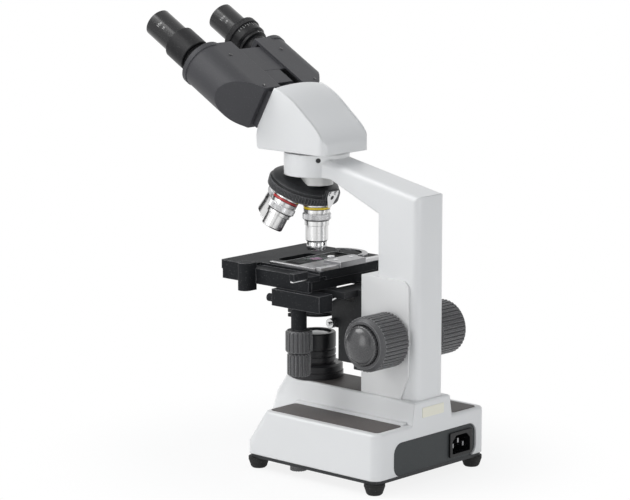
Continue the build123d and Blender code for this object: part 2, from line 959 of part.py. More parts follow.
with BuildPart() as arm_screws:
    for bolt_x in (-arm_bolt_x, arm_bolt_x):
        for bolt_y in (arm_bolt_front_y, arm_bolt_rear_y):
            upright(arm_bolt_radius, bolt_x, bolt_y, ridge_top_z - base_wall, ridge_top_z + arm_bolt_grip)
            upright(
                arm_bolt_head_radius,
                bolt_x,
                bolt_y,
                ridge_top_z - base_wall - arm_bolt_head,
                ridge_top_z - base_wall,
            )
    set_screw_length = boss_radius - spigot_radius - 1.5
    extrude(
        ring_face(set_screw_plane.offset(spigot_radius + 0.5), set_screw_radius),
        amount=set_screw_length,
    )
arm_screws.part.label = "arm_screws"


def cover_profile(plane):
    """Side outline of a focus cover."""
    with BuildSketch(plane) as outline:
        with BuildLine():
            Polyline(
                (housing_front_y, ridge_top_z),
                (cover_foot_y, ridge_top_z),
                (cover_rear_y, cover_foot_z),
                (cover_rear_y, housing_top_z),
                (housing_front_y, housing_top_z),
                close=True,
            )
        make_face()
        top_corner = outline.vertices().sort_by(Axis.Y)[-2:].sort_by(Axis.Z)[-1]
        foot_corner = outline.vertices().sort_by(Axis.Y)[-2:].sort_by(Axis.Z)[0]
        fillet(top_corner, cover_corner_radius)
        fillet(foot_corner, cover_corner_radius * 2)
    return outline.sketch


with BuildPart() as focus_covers:
    for face_x in (column_half, -column_half - cover_thickness):
        extrude(cover_profile(Plane.YZ.offset(face_x)), amount=cover_thickness)
    cover_outer = column_half + cover_thickness + 1
    crossbar(pinion_bearing + part_gap, -cover_outer, cover_outer, focus_y, focus_z, Mode.SUBTRACT)
focus_covers.part.label = "focus_covers"


# ================================================================ focus drive
focus_axis = Plane(origin=(0, focus_y, focus_z), x_dir=(0, 1, 0), z_dir=(1, 0, 0))
knob_inner_x = column_half + cover_thickness + part_gap
coarse_step_x = coarse_outer_x - coarse_step_length


def tooth_ring(plane):
    """Gear outline: straight-flanked teeth on a root disc, one tooth along local x."""
    root = pinion_radius - tooth_dedendum
    tip = pinion_radius + tooth_addendum
    root_half = tooth_half_pitch_width + 0.2 * gear_module
    tip_half = tooth_half_pitch_width - 0.3 * gear_module
    with BuildSketch(plane) as outline:
        Circle(root)
        with BuildSketch(mode=Mode.PRIVATE) as one_tooth:
            with BuildLine():
                Polyline(
                    (root - 1.0, root_half),
                    (root, root_half),
                    (pinion_radius, tooth_half_pitch_width),
                    (tip, tip_half),
                    (tip, -tip_half),
                    (pinion_radius, -tooth_half_pitch_width),
                    (root, -root_half),
                    (root - 1.0, -root_half),
                    close=True,
                )
            make_face()
        with PolarLocations(0, pinion_teeth):
            add(one_tooth.sketch)
    return outline.sketch


with BuildPart() as coarse_shaft:
    extrude(ring_face(focus_axis.offset(-coarse_step_x), coarse_tube_radius), amount=2 * coarse_step_x)
    extrude(tooth_ring(focus_axis.offset(-pinion_half_length)), amount=2 * pinion_half_length)
    extrude(
        ring_face(focus_axis.offset(-coarse_step_x - 1), fine_shaft_radius + bearing_gap),
        amount=2 * coarse_step_x + 2,
        mode=Mode.SUBTRACT,
    )
coarse_shaft.part.label = "coarse_shaft"


def coarse_knob(side):
    """Ribbed sleeve with a smooth end ring and a seat for the fine knob."""
    out = Plane(origin=(side * knob_inner_x, focus_y, focus_z), x_dir=(0, 1, 0), z_dir=(side, 0, 0))
    ribbed_length = coarse_step_x - knob_inner_x - 3.0
    total = coarse_outer_x - knob_inner_x
    turned(
        out,
        [
            (coarse_tube_radius, 0),
            (coarse_radius - 3.0, 0),
            (coarse_radius - 0.8, 3.0),
            (coarse_radius - 0.8, 3.2),
            (coarse_tube_radius, 3.2),
        ],
    )
    extrude(
        ribbed_face(out.offset(3.0), coarse_radius, coarse_rib_depth, coarse_rib_count, coarse_tube_radius),
        amount=ribbed_length,
    )
    turned(
        out,
        [
            (fine_radius + 1.0, 3.0 + ribbed_length),
            (coarse_radius - 0.6, 3.0 + ribbed_length),
            (coarse_radius - 1.2, total - 2.6),
            (coarse_radius - 3.4, total),
            (fine_radius + 1.0, total),
        ],
    )


def fine_knob(side):
    """Smooth domed knob with a flat grip band."""
    out = Plane(
        origin=(side * (coarse_step_x + part_gap), focus_y, focus_z),
        x_dir=(0, 1, 0),
        z_dir=(side, 0, 0),
    )
    span = fine_outer_x - coarse_step_x - part_gap
    turned(
        out,
        [
            (fine_shaft_radius, 0),
            (fine_radius - 0.5, 0),
            (fine_radius, 0.5),
            (fine_radius, fine_edge_length),
            (fine_radius - 1.0, fine_edge_length + 1.6),
            (fine_radius - 4.0, fine_edge_length + 3.6),
            (fine_radius - 8.5, span - 1.6),
            (fine_radius - 13.0, span - 0.4),
            (0, span),
            (0, span - 6),
            (fine_shaft_radius, span - 6),
        ],
    )


with BuildPart() as coarse_knobs:
    for side in (-1, 1):
        coarse_knob(side)
coarse_knobs.part.label = "coarse_knobs"

with BuildPart() as fine_shaft:
    fine_reach = fine_outer_x - 6
    extrude(ring_face(focus_axis.offset(-fine_reach), fine_shaft_radius), amount=2 * fine_reach)
fine_shaft.part.label = "fine_shaft"

with BuildPart() as fine_knobs:
    for side in (-1, 1):
        fine_knob(side)
fine_knobs.part.label = "fine_knobs"

rack_pitch_y = focus_y - pinion_radius
rack_root_y = rack_pitch_y - tooth_dedendum
rack_tip_y = rack_pitch_y + tooth_addendum
rack_back_y = rack_root_y - rack_thickness
rack_pitch = pi * gear_module
rack_first_tooth = -7
rack_last_tooth = 8
groove_half = tongue_half + slide_gap
groove_back_y = carrier_rear_y + 0.4 + 4.0 + tongue_depth + slide_gap

with BuildPart() as focus_slide_block:
    block(-block_half, block_half, block_front_y, rack_back_y, block_bottom_z, block_top_z)
    block(
        -groove_half,
        groove_half,
        block_front_y - 1,
        groove_back_y,
        block_bottom_z - 1,
        block_top_z + 1,
        Mode.SUBTRACT,
    )
    block(
        -rack_half_width,
        rack_half_width,
        rack_back_y,
        rack_root_y,
        focus_z + (rack_first_tooth - 0.5) * rack_pitch,
        focus_z + (rack_last_tooth + 0.5) * rack_pitch,
    )
    rack_root_half = tooth_half_pitch_width + tooth_dedendum * tan(radians(20))
    rack_tip_half = tooth_half_pitch_width - tooth_addendum * tan(radians(20))
    for tooth in range(rack_first_tooth, rack_last_tooth):
        tooth_z = focus_z + (tooth + 0.5) * rack_pitch
        extrude(
            chain_face(
                Plane.YZ.offset(-rack_half_width),
                [
                    (rack_root_y - 0.5, tooth_z - rack_root_half),
                    (rack_root_y, tooth_z - rack_root_half),
                    (rack_tip_y, tooth_z - rack_tip_half),
                    (rack_tip_y, tooth_z + rack_tip_half),
                    (rack_root_y, tooth_z + rack_root_half),
                    (rack_root_y - 0.5, tooth_z + rack_root_half),
                ],
            ),
            amount=2 * rack_half_width,
        )
focus_slide_block.part.label = "focus_slide_block"

fork_bottom_z = stage_bottom_z - fork_thickness
rail_face_y = carrier_front_y - bracket_rail_depth

with BuildPart() as stage_carrier:
    block(-carrier_half, carrier_half, carrier_front_y, carrier_rear_y, carrier_bottom_z, stage_bottom_z)
    block(
        -tongue_half,
        tongue_half,
        carrier_rear_y,
        groove_back_y - slide_gap,
        carrier_bottom_z + 4,
        block_top_z - 14,
    )
    block(
        -bracket_rail_half,
        bracket_rail_half,
        rail_face_y,
        carrier_front_y,
        carrier_bottom_z + 1,
        fork_bottom_z,
    )
    block(
        -fork_outer,
        fork_outer,
        stage_base_rear_y + 4,
        carrier_front_y + 5,
        fork_bottom_z,
        stage_bottom_z,
    )
    for side in (-1, 1):
        block(side * fork_inner, side * fork_outer, 8, carrier_front_y, fork_bottom_z, stage_bottom_z)
stage_carrier.part.label = "stage_carrier"

# ================================================================ stage
with BuildPart() as stage_base_plate:
    block(
        -stage_base_half,
        stage_base_half,
        stage_base_front_y,
        stage_base_rear_y,
        stage_bottom_z,
        stage_split_z,
    )
    for side in (-1, 1):
        block(
            side * (stage_guide_x - stage_guide_half / 2),
            side * (stage_guide_x + stage_guide_half / 2),
            stage_base_front_y,
            stage_base_rear_y,
            stage_split_z,
            stage_split_z + stage_guide_depth,
        )
    upright(stage_base_hole, 0, 0, stage_bottom_z - 1, stage_split_z + 1, Mode.SUBTRACT)
stage_base_plate.part.label = "stage_base_plate"

skirt_inner = stage_half - stage_skirt
top_plate_bottom = stage_split_z + slide_gap

with BuildPart() as stage_top_plate:
    extrude(
        rect_face(
            Plane.XY.offset(top_plate_bottom),
            -stage_half,
            stage_half,
            stage_front_y,
            stage_rear_y,
            stage_corner_radius,
        ),
        amount=stage_top_z - top_plate_bottom,
    )
    for side in (-1, 1):
        block(
            side * skirt_inner,
            side * stage_half,
            stage_front_y + stage_corner_radius,
            stage_rear_y,
            stage_bottom_z,
            top_plate_bottom + 1,
        )
    block(
        -skirt_inner,
        skirt_inner,
        stage_front_y + 1,
        stage_front_y + stage_skirt,
        stage_bottom_z,
        top_plate_bottom + 1,
    )
    for side in (-1, 1):
        block(
            side * (stage_guide_x - stage_guide_half / 2 - slide_gap),
            side * (stage_guide_x + stage_guide_half / 2 + slide_gap),
            stage_front_y + stage_skirt + 1,
            stage_rear_y + 1,
            top_plate_bottom - 1,
            stage_split_z + stage_guide_depth + slide_gap,
            Mode.SUBTRACT,
        )
    extrude(
        rect_face(
            Plane.XY.offset(top_plate_bottom - 1),
            -stage_window_half_x,
            stage_window_half_x,
            stage_window_front_y,
            stage_window_rear_y,
            6.0,
        ),
        amount=stage_top_z - top_plate_bottom + 2,
        mode=Mode.SUBTRACT,
    )
    block(
        ledge_x,
        stage_half + 1,
        ledge_y,
        stage_rear_y + 1,
        stage_top_z - ledge_drop,
        stage_top_z + 1,
        Mode.SUBTRACT,
    )
    block(
        stage_half - 1,
        end_bar_x,
        end_bar_y - end_bar_radius,
        end_bar_y + end_bar_radius,
        end_bar_bottom_z,
        end_bar_top_z,
    )
    upright(end_bar_radius, end_bar_x, end_bar_y, end_bar_bottom_z, end_bar_top_z)
stage_top_plate.part.label = "stage_top_plate"

rail_rear_y = rail_front_y + rail_depth
rail_top_z = stage_top_z + rail_height

with BuildPart() as stage_rail:
    block(-stage_half + 2, strip_x, rail_front_y, rail_rear_y, stage_top_z, rail_top_z)
    chamfer(stage_rail.edges().filter_by(Axis.X).group_by(Axis.Z)[-1], 0.5)
stage_rail.part.label = "stage_rail"

holder_top_z = rail_top_z + slide_gap + 2.2
holder_foot_z = stage_top_z + part_gap / 2
slide_half = slide_length / 2
slide_rear_y = slide_centre_y + slide_width / 2
jaw_width = 4.0
jaw_front_y = -19.0
bar_thickness = 2.0
bar_rear_y = rail_front_y - slide_gap

with BuildPart() as slide_holder:
    block(
        -34.0,
        slide_half + jaw_width,
        slide_rear_y,
        bar_rear_y,
        holder_foot_z,
        holder_foot_z + bar_thickness,
    )
    block(
        slide_half,
        slide_half + jaw_width,
        jaw_front_y,
        slide_rear_y + 1,
        holder_foot_z,
        holder_foot_z + bar_thickness,
    )
    block(-holder_half, holder_half, holder_front_y, bar_rear_y, holder_foot_z, holder_top_z)
    block(
        -holder_half,
        holder_half,
        holder_front_y,
        rail_rear_y + 2.4,
        rail_top_z + slide_gap,
        holder_top_z,
    )
    block(
        -holder_half,
        holder_half,
        rail_rear_y + slide_gap,
        rail_rear_y + 2.4,
        stage_top_z + part_gap,
        holder_top_z,
    )
    upright(
        finger_pin_radius,
        finger_pivot_x,
        finger_pivot_y,
        holder_foot_z,
        holder_foot_z + bar_thickness + 2.4,
    )
    extrude(
        ribbed_face(
            Plane(origin=(2.0, 19.0, holder_foot_z + bar_thickness)), holder_screw_radius - 0.5, 0.3, 24
        ),
        amount=holder_top_z - holder_foot_z - bar_thickness - 0.2,
    )
slide_holder.part.label = "slide_holder"

finger_z = holder_foot_z + bar_thickness + 0.1

with BuildPart() as slide_finger:
    with BuildSketch(Plane.XY.offset(finger_z)) as finger_plan:
        with BuildLine():
            root_x = finger_pivot_x - 0.5
            outer_root = (root_x, finger_pivot_y + finger_hub_radius)
            inner_root = (root_x, finger_pivot_y - finger_hub_radius)
            outer_tip = (-slide_half - 2.6, -slide_width / 2 - 0.5)
            inner_tip = (-slide_half - 0.4, -slide_width / 2 + 1.0)
            ThreePointArc(outer_root, (-slide_half - finger_bow, slide_centre_y + 10.0), outer_tip)
            Line(outer_tip, inner_tip)
            ThreePointArc(inner_tip, (-slide_half - finger_bow + 3.5, slide_centre_y + 9.5), inner_root)
            Line(inner_root, outer_root)
        make_face()
    extrude(amount=finger_thickness)
    upright(finger_hub_radius, finger_pivot_x, finger_pivot_y, finger_z, finger_z + finger_thickness)
    upright(
        finger_pin_radius + bearing_gap,
        finger_pivot_x,
        finger_pivot_y,
        finger_z - 1,
        finger_z + 3,
        Mode.SUBTRACT,
    )
    block(
        -slide_half - 3.4,
        -slide_half - 1.2,
        -slide_width / 2,
        -slide_width / 2 + 4.0,
        stage_top_z + part_gap,
        finger_z + 0.5,
    )
slide_finger.part.label = "slide_finger"

with BuildPart() as glass_slide:
    block(
        -slide_half + 0.2,
        slide_half - 0.1,
        slide_centre_y - slide_width / 2,
        slide_rear_y - 0.1,
        stage_top_z,
        stage_top_z + slide_thickness,
    )
glass_slide.part.label = "glass_slide"

with BuildPart() as drive_block:
    block(
        drive_x - drive_block_half_x,
        drive_x + drive_block_half_x,
        drive_block_front_y,
        drive_block_rear_y,
        drive_block_bottom_z,
        drive_block_top_z,
    )
    block(
        skirt_inner + 0.5,
        stage_half - 0.5,
        drive_block_front_y,
        stage_rear_y,
        drive_block_top_z - 1,
        stage_bottom_z,
    )
    extrude(
        ring_face(Plane.XZ.offset(-drive_block_front_y), 3.6, 0, drive_x + 4.5, drive_block_bottom_z + 6),
        amount=7.0,
    )
    upright(drive_sleeve_radius, drive_x, drive_y, drive_sleeve_bottom_z, drive_block_bottom_z)
    upright(
        y_tube_radius + bearing_gap,
        drive_x,
        drive_y,
        drive_sleeve_bottom_z - 1,
        drive_block_top_z - 2,
        Mode.SUBTRACT,
    )
drive_block.part.label = "drive_block"

def ribbed_knob(radius, bore, z0, z1):
    """Vertical ribbed knob with bevelled ends."""
    knob_plane = Plane(origin=(drive_x, drive_y, z0))
    extrude(ribbed_face(knob_plane, radius, drive_rib_depth, drive_rib_count, bore), amount=z1 - z0)
    bevel = 1.4
    for end, inner in ((0, bevel), (z1 - z0, z1 - z0 - bevel)):
        section = Plane(origin=knob_plane.origin, x_dir=knob_plane.x_dir, z_dir=(0, -1, 0))
        revolve(
            chain_face(
                section,
                [(radius + 0.5, end), (radius - bevel, end), (radius + 0.5, inner + (inner - end) * 0.4)],
            ),
            axis=Axis(knob_plane.origin, knob_plane.z_dir),
            mode=Mode.SUBTRACT,
        )


with BuildPart() as y_drive_knob:
    ribbed_knob(y_knob_radius, 0, y_knob_bottom_z, y_knob_top_z)
    upright(y_tube_radius, drive_x, drive_y, y_knob_top_z - 1, drive_block_top_z - 3)
    upright(
        x_shaft_radius + bearing_gap,
        drive_x,
        drive_y,
        y_knob_bottom_z - 1,
        drive_block_top_z,
        Mode.SUBTRACT,
    )
y_drive_knob.part.label = "y_drive_knob"

with BuildPart() as x_drive_knob:
    ribbed_knob(x_knob_radius, 0, x_knob_bottom_z, x_knob_top_z)
    upright(x_shaft_radius, drive_x, drive_y, x_knob_top_z - 1, drive_block_top_z - 3)
x_drive_knob.part.label = "x_drive_knob"

# ================================================================ condenser
bracket_rear_y = carrier_front_y - slide_gap
filter_ear_x = filter_radius + filter_ear_reach
filter_ear_y = -2 * filter_ear_radius
ring_bottom = condenser_bottom_z + 3.5

with BuildPart() as condenser_bracket:
    block(-bracket_half, bracket_half, bracket_front_y, bracket_rear_y, bracket_step_z, bracket_top_z)
    block(-bracket_half, bracket_half, bracket_foot_y, bracket_rear_y, bracket_bottom_z, bracket_step_z)
    block(-bracket_half, bracket_half, 12.0, bracket_front_y + 1, ring_bottom, bracket_top_z)
    upright(bracket_ring_radius, 0, 0, ring_bottom, bracket_top_z)
    upright(filter_ear_radius, filter_ear_x, filter_ear_y, ring_bottom - 2, bracket_top_z - 6)
    upright(condenser_radius, 0, 0, ring_bottom - 3, bracket_top_z + 1, Mode.SUBTRACT)
    block(
        -bracket_rail_half - slide_gap,
        bracket_rail_half + slide_gap,
        rail_face_y - slide_gap,
        bracket_rear_y + 1,
        bracket_bottom_z - 1,
        bracket_top_z + 1,
        Mode.SUBTRACT,
    )
    upright(1.5 + bearing_gap, filter_ear_x, filter_ear_y, ring_bottom - 3, ring_bottom + 4, Mode.SUBTRACT)
    crossbar(2.0, bracket_half - 5, bracket_half + 1, clamp_screw_y, clamp_screw_z, Mode.SUBTRACT)
condenser_bracket.part.label = "condenser_bracket"

with BuildPart() as condenser_body:
    turned(
        Plane.XY,
        [
            (condenser_bore, condenser_bottom_z),
            (condenser_radius - 1.0, condenser_bottom_z),
            (condenser_radius, condenser_bottom_z + 1.0),
            (condenser_radius, condenser_shoulder_z),
            (15.0, condenser_shoulder_z),
            (15.0, iris_top_z + 0.4),
            (condenser_bore, iris_top_z + 0.4),
        ],
    )
    turned(
        Plane.XY,
        [
            (8.5, iris_top_z + 0.4),
            (17.0, iris_top_z + 0.4),
            (17.0, iris_top_z + 2.4),
            (condenser_top_radius, iris_top_z + 2.4),
            (condenser_top_radius - 1.5, condenser_top_z - 1.0),
            (condenser_top_radius - 4.0, condenser_top_z),
            (6.5, condenser_top_z),
            (6.5, condenser_top_z - 2.0),
            (8.5, condenser_top_z - 2.0),
        ],
    )
condenser_body.part.label = "condenser_body"

with BuildPart() as condenser_lens:
    turned(
        Plane.XY,
        [
            (0, iris_top_z + 1.0),
            (8.5, iris_top_z + 1.0),
            (8.5, condenser_top_z - 2.0),
            (6.5, condenser_top_z - 2.0),
            (6.5, condenser_top_z - 0.4),
            (0, condenser_top_z - 0.2),
        ],
    )
condenser_lens.part.label = "condenser_lens"

iris_lever_angle = -10.0
iris_lever_z = (iris_bottom_z + iris_top_z) / 2
lever_x = cos(radians(iris_lever_angle))
lever_y = sin(radians(iris_lever_angle))

with BuildPart() as iris_ring:
    iris_plane = Plane(origin=(0, 0, iris_bottom_z))
    extrude(
        ribbed_face(iris_plane, iris_radius, 0.4, 60, 15.0 + bearing_gap),
        amount=iris_top_z - iris_bottom_z,
    )
    lever_start = iris_radius - 1.6
    lever_end = 42.0
    rod(
        1.2,
        (lever_start * lever_x, lever_start * lever_y, iris_lever_z),
        (lever_end * lever_x, lever_end * lever_y, iris_lever_z),
    )
    with Locations((lever_end * lever_x, lever_end * lever_y, iris_lever_z)):
        Sphere(2.0)
iris_ring.part.label = "iris_ring"

filter_top_z = condenser_bottom_z - 0.3
filter_bottom_z = filter_top_z - filter_thickness

with BuildPart() as filter_holder:
    upright(filter_radius, 0, 0, filter_bottom_z, filter_top_z)
    upright(filter_ear_radius, filter_ear_x, filter_ear_y, filter_bottom_z, filter_top_z)
    extrude(
        chain_face(
            Plane.XY.offset(filter_bottom_z),
            [
                (0.77 * filter_radius, filter_ear_radius),
                (filter_ear_x + 0.3 * filter_ear_radius, filter_ear_y + 0.95 * filter_ear_radius),
                (filter_ear_x - 0.3 * filter_ear_radius, filter_ear_y - 0.95 * filter_ear_radius),
                (0.59 * filter_radius, filter_ear_y - 1.12 * filter_ear_radius),
            ],
        ),
        amount=filter_thickness,
    )
    block(
        -filter_tab_half,
        filter_tab_half,
        -filter_radius - filter_tab_reach,
        -filter_radius + 1,
        filter_bottom_z,
        filter_top_z,
    )
    filter_seat_z = filter_top_z - filter_seat_depth
    upright(filter_radius - filter_rim, 0, 0, filter_seat_z, filter_top_z + 1, Mode.SUBTRACT)
    upright(filter_radius - 2 * filter_rim, 0, 0, filter_bottom_z - 1, filter_top_z + 1, Mode.SUBTRACT)
    upright(filter_pin_radius, filter_ear_x, filter_ear_y, filter_top_z - 1, ring_bottom + 3)
filter_holder.part.label = "filter_holder"

with BuildPart() as condenser_clamp_screw:
    crossbar(2.0, bracket_half - 5, bracket_half + 2, clamp_screw_y, clamp_screw_z)
    extrude(
        ribbed_face(
            Plane(origin=(bracket_half + 0.3, clamp_screw_y, clamp_screw_z), z_dir=(1, 0, 0)),
            clamp_grip_radius,
            0.4,
            20,
        ),
        amount=clamp_grip_length,
    )
    crossbar(
        1.6,
        bracket_half + clamp_grip_length,
        bracket_half + 1.5 * clamp_grip_length,
        clamp_screw_y,
        clamp_screw_z,
    )
condenser_clamp_screw.part.label = "condenser_clamp_screw"

with BuildPart() as condenser_stop_lever:
    crossbar(stop_hub_radius, bracket_half, bracket_half + stop_hub_length, stop_y, stop_z)
    rod(
        stop_rod_radius,
        (bracket_half + 3.0, stop_y, stop_z + 0.5),
        (bracket_half + 5.0, stop_y + stop_reach_y, stop_z + stop_reach_z),
    )
    with Locations((bracket_half + 3.2, stop_y - 0.5, stop_z + 0.5)):
        Sphere(stop_hub_radius - 1.0)
condenser_stop_lever.part.label = "condenser_stop_lever"

# ================================================================ nosepiece
tilt_sin = sin(radians(nose_tilt))
tilt_cos = cos(radians(nose_tilt))
nose_plane = Plane(origin=(0, 0, nose_apex_z), x_dir=(1, 0, 0), z_dir=(0, -tilt_sin, -tilt_cos))

with BuildPart() as nosepiece_ring:
    upright(ring_radius, 0, 0, ring_bottom_z, boss_bottom_z)
    upright(light_path_radius - 1, 0, 0, ring_bottom_z - 1, boss_bottom_z + 1, Mode.SUBTRACT)
nosepiece_ring.part.label = "nosepiece_ring"

rear_out = -Vector(nose_plane.y_dir)
stop_origin = nose_plane.origin + rear_out * (carrier_disc_radius + 0.2)
stop_plane = Plane(origin=stop_origin, x_dir=nose_plane.z_dir, z_dir=rear_out)

with BuildPart() as nosepiece_carrier:
    turned(
        nose_plane,
        [
            (0, carrier_neck_near),
            (carrier_neck_radius, carrier_neck_near),
            (carrier_disc_radius - 6.0, carrier_disc_near - 2.2),
            (carrier_disc_radius - 1.2, carrier_disc_near),
            (carrier_disc_radius, carrier_disc_near + 1.0),
            (carrier_disc_radius, carrier_disc_far),
            (0, carrier_disc_far),
        ],
    )
    extrude(
        rect_face(stop_plane.offset(-2.2), carrier_disc_near + 0.2, carrier_disc_far, -8.0, 8.0),
        amount=4.6,
    )
    extrude(
        rect_face(stop_plane, carrier_disc_near - 5.5, carrier_disc_far, -8.0, 8.0, 1.0),
        amount=2.4,
    )
    upright(boss_radius + 1.0, 0, 0, boss_bottom_z - part_gap, boss_top_z, Mode.SUBTRACT)
    upright(ring_radius, 0, 0, ring_bottom_z, boss_bottom_z, Mode.SUBTRACT)
    upright(light_path_radius - 2, 0, 0, ring_bottom_z - 20, ring_bottom_z + 1, Mode.SUBTRACT)
nosepiece_carrier.part.label = "nosepiece_carrier"


def objective_plane(spin):
    """Plane whose normal runs down one objective; spin is its place round the turret."""
    reach = Vector(nose_plane.z_dir) * cos(radians(objective_tilt))
    across = Vector(nose_plane.x_dir) * cos(radians(spin)) + Vector(nose_plane.y_dir) * sin(radians(spin))
    down = reach + across * sin(radians(objective_tilt))
    return Plane(origin=nose_plane.origin, x_dir=reach.cross(across), z_dir=down)


place_10x = objective_plane(-90)
place_4x = objective_plane(0)
place_100x = objective_plane(90)
place_40x = objective_plane(180)
places = (place_10x, place_4x, place_100x, place_40x)

with BuildPart() as turret:
    turned(
        nose_plane,
        [
            (turret_bore + bearing_gap, turret_near),
            (turret_radius, turret_near),
            (turret_radius, turret_rim_far),
            (turret_radius - 2.0, turret_rim_far + 1.0),
            (turret_radius - 6.0, turret_rim_far + 3.4),
            (10.0, turret_far),
            (turret_bore + bearing_gap, turret_far),
        ],
    )
    for place in places:
        extrude(
            ring_face(place.offset(turret_near - 6), objective_thread_radius),
            amount=objective_seat - turret_near + 8,
            mode=Mode.SUBTRACT,
        )
        extrude(
            ring_face(place.offset(objective_seat), objective_thread_radius + 2.3),
            amount=12,
            mode=Mode.SUBTRACT,
        )
    grip_length = turret_rim_far - turret_near - 1.0
    extrude(
        ribbed_face(
            nose_plane.offset(turret_near + 0.6),
            turret_radius + 1.0,
            turret_knurl_depth,
            turret_knurl_count,
            turret_radius - 0.5,
        ),
        amount=grip_length,
    )
turret.part.label = "turret"

with BuildPart() as turret_pivot:
    turned(
        nose_plane,
        [
            (0, carrier_disc_far),
            (turret_bore, carrier_disc_far),
            (turret_bore, turret_far + 0.1),
            (pivot_head_radius, turret_far + 0.1),
            (pivot_head_radius, turret_far + 1.6),
            (pivot_head_radius - 1.0, turret_far + pivot_head_height),
            (0, turret_far + pivot_head_height),
        ],
    )
turret_pivot.part.label = "turret_pivot"

with BuildPart() as click_spring:
    extrude(
        chain_face(
            stop_plane.offset(2.4),
            [
                (carrier_disc_near - 5.0, -6.5),
                (carrier_disc_near - 5.0, 6.5),
                (carrier_disc_near + 1.0, 6.5),
                (turret_rim_far + 1.0, 1.8),
                (turret_rim_far + 1.0, -1.8),
                (carrier_disc_near + 1.0, -6.5),
            ],
        ),
        amount=0.7,
    )
    extrude(
        ring_face(stop_plane.offset(2), 2.0, 0, carrier_disc_near + 1.5, 0),
        amount=3,
        mode=Mode.SUBTRACT,
    )
    for screw_side in (-3.6, 3.6):
        extrude(ring_face(stop_plane.offset(3.1), 1.8, 0, carrier_disc_near - 2.6, screw_side), amount=1.1)
click_spring.part.label = "click_spring"

shoulder = objective_seat
knurl_near = shoulder + 10.5
knurl_far = shoulder + 16.5


def objective_head(place, ring_near):
    """Threaded neck, collar and knurled grip that all four objectives share."""
    turned(
        place,
        [
            (objective_bore, shoulder - objective_thread_length),
            (objective_thread_radius, shoulder - objective_thread_length),
            (objective_thread_radius, shoulder),
            (collar_radius, shoulder),
            (collar_radius, ring_near),
            (collar_radius - 0.6, ring_near),
            (collar_radius - 0.6, ring_near + 2.2),
            (collar_radius, ring_near + 2.2),
            (collar_radius, knurl_near - 0.8),
            (11.4, knurl_near - 0.8),
            (11.4, knurl_near),
            (objective_bore, knurl_near),
        ],
    )
    extrude(
        ribbed_face(place.offset(knurl_near), 12.0, 0.3, 60, objective_bore),
        amount=knurl_far - knurl_near,
    )


def objective_nose(place, steps, far, mouth):
    """Barrel below the grip: steps are (radius, distance), ending at the front lens."""
    outline = [(objective_bore, knurl_far)]
    outline.extend(steps)
    outline.append((mouth, far))
    outline.append((mouth, far - 2.2))
    outline.append((objective_bore, far - 3.4))
    turned(place, outline)


def front_lens(place, far, mouth):
    """Front lens set just inside an objective's mouth."""
    turned(place, [(0, far - 2.2), (mouth, far - 2.2), (mouth, far - 0.5), (0, far - 0.3)])


band_near = shoulder + 4.6

with BuildPart() as objective_10x:
    objective_head(place_10x, band_near)
    objective_nose(
        place_10x,
        [
            (11.2, knurl_far),
            (11.2, knurl_far + 5.0),
            (10.4, knurl_far + 5.3),
            (10.4, objective_long - 9.5),
            (9.0, objective_long - 8.0),
            (9.0, objective_long - 0.8),
            (8.2, objective_long),
        ],
        objective_long,
        4.6,
    )
objective_10x.part.label = "objective_10x"

with BuildPart() as objective_4x:
    objective_head(place_4x, band_near)
    objective_nose(
        place_4x,
        [
            (11.2, knurl_far),
            (11.2, knurl_far + 4.0),
            (10.2, knurl_far + 4.3),
            (10.0, objective_short - 1.0),
            (9.2, objective_short),
        ],
        objective_short,
        6.5,
    )
objective_4x.part.label = "objective_4x"

with BuildPart() as objective_40x:
    objective_head(place_40x, band_near)
    objective_nose(
        place_40x,
        [
            (11.2, knurl_far),
            (11.2, knurl_far + 5.0),
            (10.4, knurl_far + 5.3),
            (10.4, objective_long - 9.0),
            (6.4, objective_long - 4.0),
            (6.4, objective_long - 1.0),
            (5.6, objective_long),
        ],
        objective_long,
        2.6,
    )
objective_40x.part.label = "objective_40x"

with BuildPart() as objective_100x:
    objective_head(place_100x, band_near)
    objective_nose(
        place_100x,
        [
            (11.2, knurl_far),
            (11.2, knurl_far + 8.0),
            (10.8, knurl_far + 8.3),
            (10.8, objective_long - 6.0),
            (5.2, objective_long - 1.2),
            (5.2, objective_long),
        ],
        objective_long,
        2.2,
    )
objective_100x.part.label = "objective_100x"

with BuildPart() as objective_lenses:
    front_lens(place_10x, objective_long, 4.6)
    front_lens(place_4x, objective_short, 6.5)
    front_lens(place_40x, objective_long, 2.6)
    front_lens(place_100x, objective_long, 2.2)
objective_lenses.part.label = "objective_lenses"

# ================================================================ head
rise_sin = sin(radians(tube_rise))
rise_cos = cos(radians(tube_rise))
tube_plane = Plane(origin=(0, 0, 0), x_dir=(1, 0, 0), z_dir=(0, -rise_cos, rise_sin))
deck_view = Plane(origin=(0, 0, 0), x_dir=(1, 0, 0), z_dir=(0, -rise_sin, -rise_cos))
box_top = tube_offset + box_radius
box_bottom = tube_offset - box_radius


def tube_point(along, above):
    """Side-view (y, z) of a point given along and above the tubes."""
    return (-along * rise_cos + above * rise_sin, along * rise_sin + above * rise_cos)


def lid_block(x0, x1, along0, along1, above0, above1, mode=Mode.ADD):
    """Block square to the tubes."""
    extrude(rect_face(tube_plane.offset(along0), x0, x1, above0, above1), amount=along1 - along0, mode=mode)


mirror_along = tube_offset * rise_sin / rise_cos + 7.0
mirror_z = tube_offset / rise_cos
head_rear_y = 36.0
head_front_y = tube_point(bridge_face, tube_offset - 16.4)[0] - 1.3
head_band_z = head_bottom_z + 8.6
head_corner_radius = 6.5


def crown(start, end, share, rise):
    """Side-view point part of the way from start to end, lifted off that line by a share of its length."""
    run_y = end[0] - start[0]
    run_z = end[1] - start[1]
    return (start[0] + share * run_y + rise * run_z, start[1] + share * run_z - rise * run_y)


